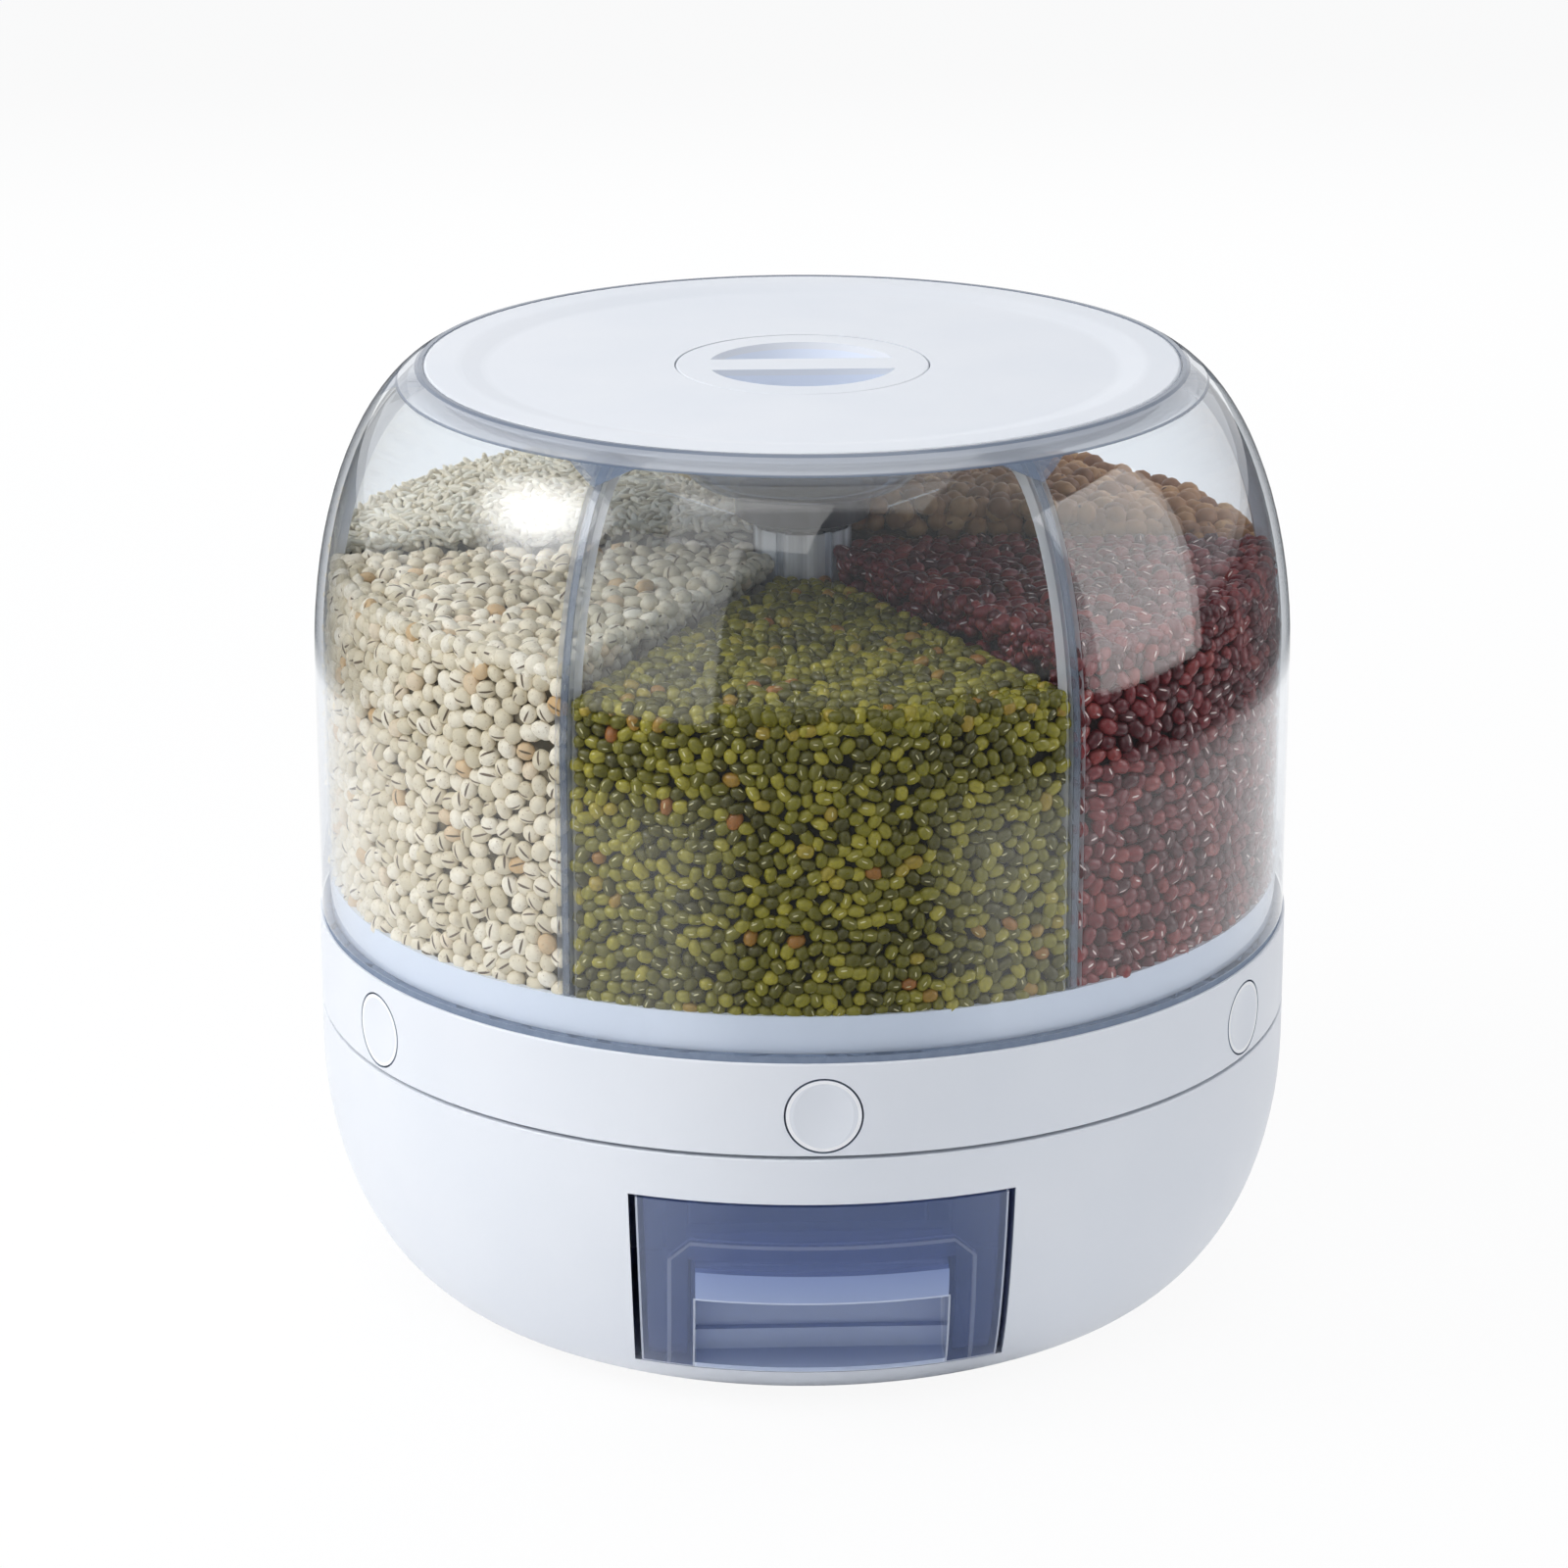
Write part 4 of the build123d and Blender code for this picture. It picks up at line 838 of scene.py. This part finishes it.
def lattice(random, width, height, spacing):
    """Staggered rows of places over a flat area, each moved a little at random."""
    columns, rows = round(width / spacing) + 1, round(height / (spacing * ROW_SHARE)) + 1
    row, column = np.mgrid[0:rows, 0:columns]
    along = (column + row % 2 / 2).ravel() * width / (columns - 1)
    flat = np.column_stack([along, row.ravel() * height / (rows - 1)])
    flat += random.uniform(-JITTER_SHARE, JITTER_SHARE, flat.shape) * spacing
    return flat[flat[:, 0] < width + spacing / 4]


def wall_points(random, kind, spacing, rounds):
    """Places over the drum wall's inside, as (angle, height)."""
    radius = wall_radius(GRAIN_LOW)
    half = math.pi / COMPARTMENTS - (DIVIDER_HALF + kind["size"][2] / 2) / radius
    width, height = 2 * half * radius, kind["wall_level"] - kind["size"][1] / 2 - GRAIN_LOW
    flat = lattice(random, width, height, spacing)
    flat = spaced(flat, spacing, lambda p: np.clip(p, 0.0, (width, height)), rounds)
    return np.column_stack([flat[:, 0] / radius - half, flat[:, 1] + GRAIN_LOW])


def heap_height(kind, radius):
    """Height of the heap's top at a distance from the axis."""
    share = np.clip((radius - COLUMN_RADIUS) / (wall_radius(kind["wall_level"]) - COLUMN_RADIUS), 0.0, 1.0)
    return kind["mid_level"] + (kind["wall_level"] - kind["mid_level"]) * share**2


def top_points(random, kind, spacing, rounds):
    """Places over the heap's top, as (x, y) with the compartment along +X."""
    inner, outer = COLUMN_RADIUS + spacing / 2, wall_radius(kind["wall_level"]) - spacing / 2
    aside = DIVIDER_HALF + kind["size"][2] / 2

    def keep_in(flat):
        far = np.clip(np.hypot(flat[:, 0], flat[:, 1]), inner, outer)
        limit = math.pi / COMPARTMENTS - np.arcsin(np.clip(aside / far, 0.0, SINE_LIMIT))
        angle = np.clip(np.arctan2(flat[:, 1], flat[:, 0]), -limit, limit)
        return np.column_stack([far * np.cos(angle), far * np.sin(angle)])

    flat = lattice(random, outer, outer, spacing) - (0.0, outer / 2)
    flat = flat[np.linalg.norm(keep_in(flat) - flat, axis=1) < spacing / 2]
    return spaced(keep_in(flat), spacing, keep_in, rounds)


def side_grains(random, kind, spacing):
    """Places and outward normals on the upper sides that face the dividers."""
    inner, outer = COLUMN_RADIUS + spacing, wall_radius(kind["wall_level"]) - spacing
    places, normals = [], []
    for side in (-1, 1):
        edge = math.pi / COMPARTMENTS * side
        along = np.array((math.cos(edge), math.sin(edge)))
        outward = np.array((-math.sin(edge), math.cos(edge))) * side
        flat = lattice(random, outer - inner, SIDE_DEPTH, spacing)
        far = inner + flat[:, 0]
        height = heap_height(kind, far) - kind["size"][2] / 2 - np.abs(flat[:, 1])
        flat = far[:, None] * along - (DIVIDER_HALF + WALL_GAP + kind["size"][2] / 2) * outward
        places.append(np.column_stack([flat, height]))
        normals.append(np.tile((*outward, 0.0), (len(far), 1)))
    return np.concatenate(places), np.concatenate(normals)


def turn_frames(random, normals, tilt):
    """A rotation for each grain: its thin side along the normal, give or take a tilt."""
    count = len(normals)
    normals = normals + random.normal(0.0, tilt, (count, 3))
    normals /= np.linalg.norm(normals, axis=1)[:, None]
    guess = random.normal(0.0, 1.0, (count, 3)) * (1.0, 1.0, LYING_SHARE)
    along = guess - (guess * normals).sum(1)[:, None] * normals
    along /= np.linalg.norm(along, axis=1)[:, None]
    return np.stack([along, np.cross(normals, along), normals], axis=2)


class Heap:
    """Collects grains and the core of one compartment into one mesh."""

    def __init__(self, kind, random):
        self.kind, self.random = kind, random
        self.points, self.faces, self.local, self.tone, self.slots = [], [], [], [], []
        self.count = 0

    def add(self, points, faces, local, tone, slot):
        self.points.append(points)
        self.faces.append(faces + self.count)
        self.local.append(local)
        self.tone.append(tone)
        self.slots.append(np.full(len(faces), slot))
        self.count += len(points)

    def grains(self, places, normals, detail, tilt):
        unit, faces = unit_grain(detail, self.kind["barrel"])
        count = len(places)
        half = np.array(self.kind["size"]) / 2
        growth = 1.0 + self.random.normal(0.0, SIZE_SPREAD_SHARE, (count, 3))
        sizes = half * growth.clip(*SIZE_LIMIT_SHARES)
        frames = turn_frames(self.random, normals, tilt)
        shaped = unit[None, :, :] * sizes[:, None, :]
        points = np.einsum("gij,gvj->gvi", frames, shaped) + places[:, None, :]
        all_faces = faces[None] + (np.arange(count) * len(unit))[:, None, None]
        tone = np.repeat(self.random.random(count), len(unit))
        flip = np.where(self.random.random(count) < FLIP_SHARE, -1.0, 1.0)
        local = unit[None] * np.stack([np.ones(count), np.ones(count), flip], axis=1)[:, None, :]
        self.add(points.reshape(-1, 3), all_faces.reshape(-1, 3), local.reshape(-1, 3), tone, 0)

    def object(self, name, turn, materials):
        points = np.concatenate(self.points) @ np.array(Matrix.Rotation(turn, 3, "Z")).T
        faces = np.concatenate(self.faces)
        mesh = bpy.data.meshes.new(name)
        mesh.from_pydata(points.tolist(), [], faces.tolist())
        mesh.polygons.foreach_set("material_index", np.concatenate(self.slots).astype(np.int32))
        mesh.polygons.foreach_set("use_smooth", np.ones(len(faces), bool))
        local = mesh.attributes.new("local", "FLOAT_VECTOR", "POINT")
        local.data.foreach_set("vector", np.concatenate(self.local).astype(np.float32).ravel())
        tone = mesh.attributes.new("tone", "FLOAT", "POINT")
        tone.data.foreach_set("value", np.concatenate(self.tone).astype(np.float32))
        for material in materials:
            mesh.materials.append(material)
        mesh.update()
        return add_object(name, mesh)


def core_outline(kind, inset):
    """Distances and heights round the core's section: up the wall, over the top, down the column."""
    column = COLUMN_RADIUS + inset / 2
    heights = np.linspace(CORE_LOW, kind["wall_level"] - inset, CORE_LEVELS)
    outline = [(wall_radius(height) - inset, height) for height in heights]
    wall = outline[-1][0]
    for share in np.linspace(0.0, 1.0, CORE_RINGS)[1:]:
        far = wall * (1 - share) + column * share
        outline.append((far, float(heap_height(kind, np.array(far))) - inset))
    return outline + [(column, CORE_LOW)]


def add_core(heap, kind, inset):
    """A closed wedge just inside the outer grains."""
    half = math.pi / COMPARTMENTS
    outline = core_outline(kind, inset)
    points = []
    for turn in np.linspace(-half, half, CORE_TURNS + 1):
        for far, height in outline:
            limit = half - math.asin(min(SINE_LIMIT, (DIVIDER_HALF + WALL_GAP + inset) / far))
            angle = turn * limit / half
            points.append((far * math.cos(angle), far * math.sin(angle), height))
    points = np.array(points)
    per = len(outline)
    faces = []
    for i in range(CORE_TURNS):
        for j in range(per):
            a, b = i * per + j, i * per + (j + 1) % per
            c, d = a + per, b + per
            faces += [(a, c, b), (b, c, d)]
    for start, flip in ((0, False), (CORE_TURNS * per, True)):
        middle = len(points)
        points = np.vstack([points, points[start : start + per].mean(0)])
        for j in range(per):
            ends = (start + j, start + (j + 1) % per)
            faces.append((middle, ends[1], ends[0]) if flip else (middle, *ends))
    heap.add(points, np.array(faces), np.zeros_like(points), np.zeros(len(points)), 1)


def make_contents(number, name, kind):
    """The grain in one compartment, riding on the drum."""
    random = np.random.default_rng(SEED + number)
    heap = Heap(kind, random)
    long, wide, thick = kind["size"]
    spacing = PACK_SHARE * math.sqrt(long * wide)
    rounds = PUSH_ROUNDS
    for layer, detail, tilt in LAYERS:
        sunk = thick * (LAYER_FIRST_SHARE + LAYER_STEP_SHARE * layer)
        flat = wall_points(random, kind, spacing, rounds)
        radius = np.array([wall_radius(z) for z in flat[:, 1]])
        depth = WALL_GAP + sunk + random.random(len(flat)) * thick * WALL_LOOSE_SHARE
        out = np.column_stack([np.cos(flat[:, 0]), np.sin(flat[:, 0]), np.zeros(len(flat))])
        places = out * (radius - depth)[:, None] + np.column_stack([np.zeros((len(flat), 2)), flat[:, 1]])
        heap.grains(places, out, detail, tilt)
        flat = top_points(random, kind, spacing, rounds)
        height = heap_height(kind, np.hypot(flat[:, 0], flat[:, 1]))
        drop = sunk + random.random(len(flat)) * thick * TOP_LOOSE_SHARE
        places = np.column_stack([flat, height - drop])
        heap.grains(places, np.tile((0.0, 0.0, 1.0), (len(flat), 1)), detail, tilt)
    places, normals = side_grains(random, kind, spacing)
    heap.grains(places, normals, SIDE_DETAIL, SIDE_TILT)
    add_core(heap, kind, thick * CORE_INSET_SHARE)
    materials = [grain_skin(name + "_skin", kind), shaded_heap_core(name + "_core", kind["core"])]
    turn = -math.pi / 2 + (number - 1) * 2 * math.pi / COMPARTMENTS
    made = heap.object(f"grain_{number}_{name}", turn, materials)
    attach(made, "drum")


# Return springs, and the dark cap on the column, which is painted shade
def loft(name, outlines, material, smooth):
    """A closed tube through rings of points, with flat ends."""
    shape = bmesh.new()
    rings = [[shape.verts.new(point) for point in outline] for outline in outlines]
    for ring, following in zip(rings, rings[1:]):
        for i in range(len(ring)):
            j = (i + 1) % len(ring)
            shape.faces.new((ring[i], ring[j], following[j], following[i])).smooth = smooth
    shape.faces.new(rings[0][::-1])
    shape.faces.new(rings[-1])
    bmesh.ops.recalc_face_normals(shape, faces=shape.faces)
    mesh = bpy.data.meshes.new(name)
    shape.to_mesh(mesh)
    shape.free()
    mesh.materials.append(material)
    return add_object(name, mesh)


def make_spring(number, material):
    """Coil spring behind a gate, in place of its CAD node."""
    turn = (number - 1) * 2 * math.pi / COMPARTMENTS
    outward = Vector((math.sin(turn), -math.cos(turn), 0.0))
    aside = Vector((math.cos(turn), math.sin(turn), 0.0))
    up = Vector((0.0, 0.0, 1.0))
    low, high = spring_box
    start, end = -high.y + SPRING_WIRE, -low.y - SPRING_WIRE
    axis_height = (low.z + high.z) / 2
    rings = []
    steps = SPRING_TURNS * SPRING_STEPS
    for i in range(steps + 1):
        share = i / steps
        angle = 2 * math.pi * SPRING_TURNS * share
        spoke = aside * math.cos(angle) + up * math.sin(angle)
        middle = outward * (start + (end - start) * share) + up * axis_height + spoke * SPRING_COIL
        turns = [2 * math.pi * j / SPRING_SIDES for j in range(SPRING_SIDES)]
        rings.append([middle + (spoke * math.cos(t) + outward * math.sin(t)) * SPRING_WIRE for t in turns])
    made = loft(f"coil_{number}", rings, material, True)
    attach(made, "drum")
    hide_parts(f"gate_spring_{number}")
    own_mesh(made)


def make_cap():
    """Dark round cap on the column, flared over the dividers and clear of the bowl: painted shade under the
    lid's centre.
    """
    high = bowl_low - CAP_GAP
    outline = [
        (CAP_FOOT, column_top),
        (CAP_RADIUS, column_top + CAP_FLARE),
        (CAP_RADIUS, high - CAP_ROUND),
        (CAP_RADIUS - CAP_ROUND, high),
    ]
    turns = [2 * math.pi * i / CAP_SIDES for i in range(CAP_SIDES)]
    rings = [[(far * math.cos(t), far * math.sin(t), height) for t in turns] for far, height in outline]
    made = loft("column_cap_painted_shade", rings, shade_cap_plastic("cap_painted_shade"), False)
    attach(made, "drum")


# Studio
def floor_material():
    """Pale floor, white to the camera and mirrored dimmer in front, that still takes the shadow."""
    tree = material_tree("floor_pale")
    place = tree.place()
    matte = tree.matte(tree.mix(tree.noise(FLOOR_SCALE, place), srgb(*FLOOR_COLOUR), srgb(*FLOOR_SHADE)))
    path = tree.node("ShaderNodeLightPath").outputs
    seen = tree.math("MAXIMUM", path["Is Camera Ray"], path["Is Transmission Ray"])
    apart = tree.split(place)
    ahead = tree.math("MULTIPLY", apart["Y"], -1.0)
    turn = tree.math("ARCTAN2", apart["X"], ahead)
    left = tree.spread(turn, FLOOR_DIM_LEFT, FLOOR_DIM_LEFT - FLOOR_DIM_EDGE)
    right = tree.spread(turn, FLOOR_DIM_RIGHT, FLOOR_DIM_RIGHT + FLOOR_DIM_EDGE)
    square = tree.math("MULTIPLY", ahead, ahead)
    square = tree.math("MULTIPLY_ADD", apart["X"], apart["X"], square)
    close = tree.spread(tree.math("SQRT", square), FLOOR_LIT_RADIUS + FLOOR_LIT_EDGE, FLOOR_LIT_RADIUS)
    sides = tree.math("MULTIPLY", tree.math("MAXIMUM", left, right), close)
    strength = tree.math("MAXIMUM", seen, tree.spread(sides, 0.0, 1.0, FLOOR_DIM_SHARE, 1.0))
    white = tree.node("ShaderNodeEmission", {"Color": WHITE_LIGHT, "Strength": strength}).outputs[0]
    either = tree.math("MAXIMUM", seen, path["Is Glossy Ray"])
    return tree.finish(tree.mix_shader(tree.math("MULTIPLY", either, FLOOR_WHITE_SHARE), matte, white))


def make_floor():
    """Wide plain floor under the feet."""
    mesh = bpy.data.meshes.new("floor")
    half = FLOOR_SIZE / 2
    corners = [(-half, -half, 0), (half, -half, 0), (half, half, 0), (-half, half, 0)]
    mesh.from_pydata(corners, [], [(0, 1, 2, 3)])
    mesh.materials.append(floor_material())
    floor = add_object("floor", mesh)


def make_world():
    """Soft even light, white where the camera sees it, mirrored dimmer in front and on the right."""
    world = bpy.data.worlds.new("studio")
    bpy.context.scene.world = world
    tree = Tree(world, "ShaderNodeOutputWorld")
    inputs = {"Color": srgb(*WORLD_COLOUR), "Strength": WORLD_STRENGTH}
    light = tree.node("ShaderNodeBackground", inputs).outputs[0]
    white = tree.node("ShaderNodeBackground", {"Color": WHITE_LIGHT, "Strength": 1.0}).outputs[0]
    path = tree.node("ShaderNodeLightPath").outputs
    apart = tree.split(tree.node("ShaderNodeTexCoord").outputs["Generated"])
    sides = tree.spread(apart["Y"], WORLD_FRONT_START, WORLD_FRONT_END, WORLD_FRONT_SHARE, WORLD_SIDE_SHARE)
    right = tree.spread(apart["X"], WORLD_RIGHT_START, WORLD_RIGHT_END, 1.0, WORLD_RIGHT_SHARE)
    mirrored = tree.math("MULTIPLY", path["Is Glossy Ray"], tree.math("MULTIPLY", sides, right))
    seen = tree.math("MAXIMUM", path["Is Camera Ray"], path["Is Transmission Ray"])
    tree.finish(tree.mix_shader(tree.math("MAXIMUM", seen, mirrored), light, white))


def add_softbox(
    name, azimuth, elevation, distance, width, height, radiance, shape="RECTANGLE", rays="both"
):
    """Flat lamp aimed at the object, unseen by the camera."""
    lamp = bpy.data.lights.new(name, "AREA")
    lamp.shape = shape
    lamp.size, lamp.size_y = width, height
    lamp.color = srgb(*LAMP_COLOUR)[:3]
    lamp.energy = radiance * math.pi * width * height
    made = add_object(name, lamp)
    turn, rise = math.radians(azimuth), math.radians(elevation)
    flat = distance * math.cos(rise)
    aim = Vector((0.0, 0.0, AIM_HEIGHT))
    made.location = aim + Vector((flat * math.sin(turn), -flat * math.cos(turn), distance * math.sin(rise)))
    made.rotation_euler = (made.location - aim).to_track_quat("Z", "Y").to_euler()
    made.visible_camera = False
    made.visible_diffuse = rays != "gloss"
    made.visible_glossy = rays != "matte"


def make_lights():
    """A key light with its gleam on the left, and softboxes around and above."""
    for i, share in enumerate(KEY_SHARES):
        size = {"width": share * KEY_WIDTH, "height": share * KEY_HEIGHT}
        add_softbox(f"key_{i + 1}", distance=KEY_DISTANCE + i * LAMP_STEP, **size, **KEY)
    for i, share in enumerate(GLEAM_SHARES):
        size = {"width": share * KEY_WIDTH, "height": share * KEY_HEIGHT}
        add_softbox(f"key_gleam_{i + 1}", distance=GLEAM_DISTANCE - i * LAMP_STEP, **size, **GLEAM)
    for name, lamp in SOFTBOXES.items():
        add_softbox(name, **lamp)


def make_camera():
    """Camera at the photograph's viewing angle."""
    data = bpy.data.cameras.new("camera")
    data.lens = CAMERA_LENS
    data.sensor_width = CAMERA_SENSOR
    data.shift_x = CAMERA_SHIFT_SHARE
    camera = add_object("camera", data)
    turn = math.radians(CAMERA_TURN)
    camera.location = (CAMERA_DISTANCE * math.sin(turn), -CAMERA_DISTANCE * math.cos(turn), CAMERA_HEIGHT)
    camera.rotation_euler = (math.radians(LEVEL_ANGLE - CAMERA_PITCH), 0.0, turn)
    bpy.context.scene.camera = camera


def paint(material, *names):
    """Give CAD nodes a material."""
    for name in names:
        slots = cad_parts[name].data.materials
        slots.clear()
        slots.append(material)


def numbered(stem):
    """Names of the nodes that each compartment has."""
    return [f"{stem}_{i + 1}" for i in range(COMPARTMENTS)]


def paint_nodes(metal):
    """Materials for the CAD nodes that stay."""
    inner = moulded_plastic("inner_plastic", INNER)
    paint(moulded_plastic("white_plastic", WHITE), "base_shell")
    paint(moulded_plastic("button_plastic", WHITE, button_highlight_and_gap_shade), "button_ring", *numbered("button"))
    paint(moulded_plastic("lid_plastic", LID_WHITE), "lid_panel")
    paint(moulded_plastic("knob_plastic", LID_WHITE, knob_pocket_shade), "lid_knob")
    paint(inner, "base_deck", "base_plate", "cup_bay", "turntable", "hopper_floor")
    paint(inner, "ball_cage", "hub_bush", *numbered("gate"))
    paint(drum_plastic("drum_clear"), "clear_shell")
    paint(divider_plastic("divider_clear"), *numbered("divider"))
    paint(bowl_plastic("bowl_clear"), "desiccant_bowl")
    paint(column_plastic("column_clear"), "centre_column")
    paint(smoky_plastic("smoky_blue"), "grain_cup")
    paint(metal, "base_screws", "bay_screws", "hopper_screws", "spindle", "axle_washer", "axle_screw")
    paint(metal, "bearing_balls", "knob_clip")
    paint(soft_rubber("grey_silicone", GREY_SILICONE), "shell_gasket")
    paint(soft_rubber("pale_silicone", PALE_SILICONE), "lid_seal")
    paint(soft_rubber("black_rubber", BLACK_RUBBER), "rubber_feet")


def main():
    scene = bpy.context.scene
    scene.view_settings.view_transform = "Standard"
    scene.cycles.transparent_max_bounces = CLEAR_BOUNCES
    make_camera()
    make_world()
    make_lights()
    make_floor()
    metal = steel("plain_steel")
    paint_nodes(metal)
    for number in range(1, COMPARTMENTS + 1):
        make_spring(number, metal)
    make_cap()
    for number, (name, kind) in enumerate(CONTENTS, 1):
        make_contents(number, name, kind)


main()
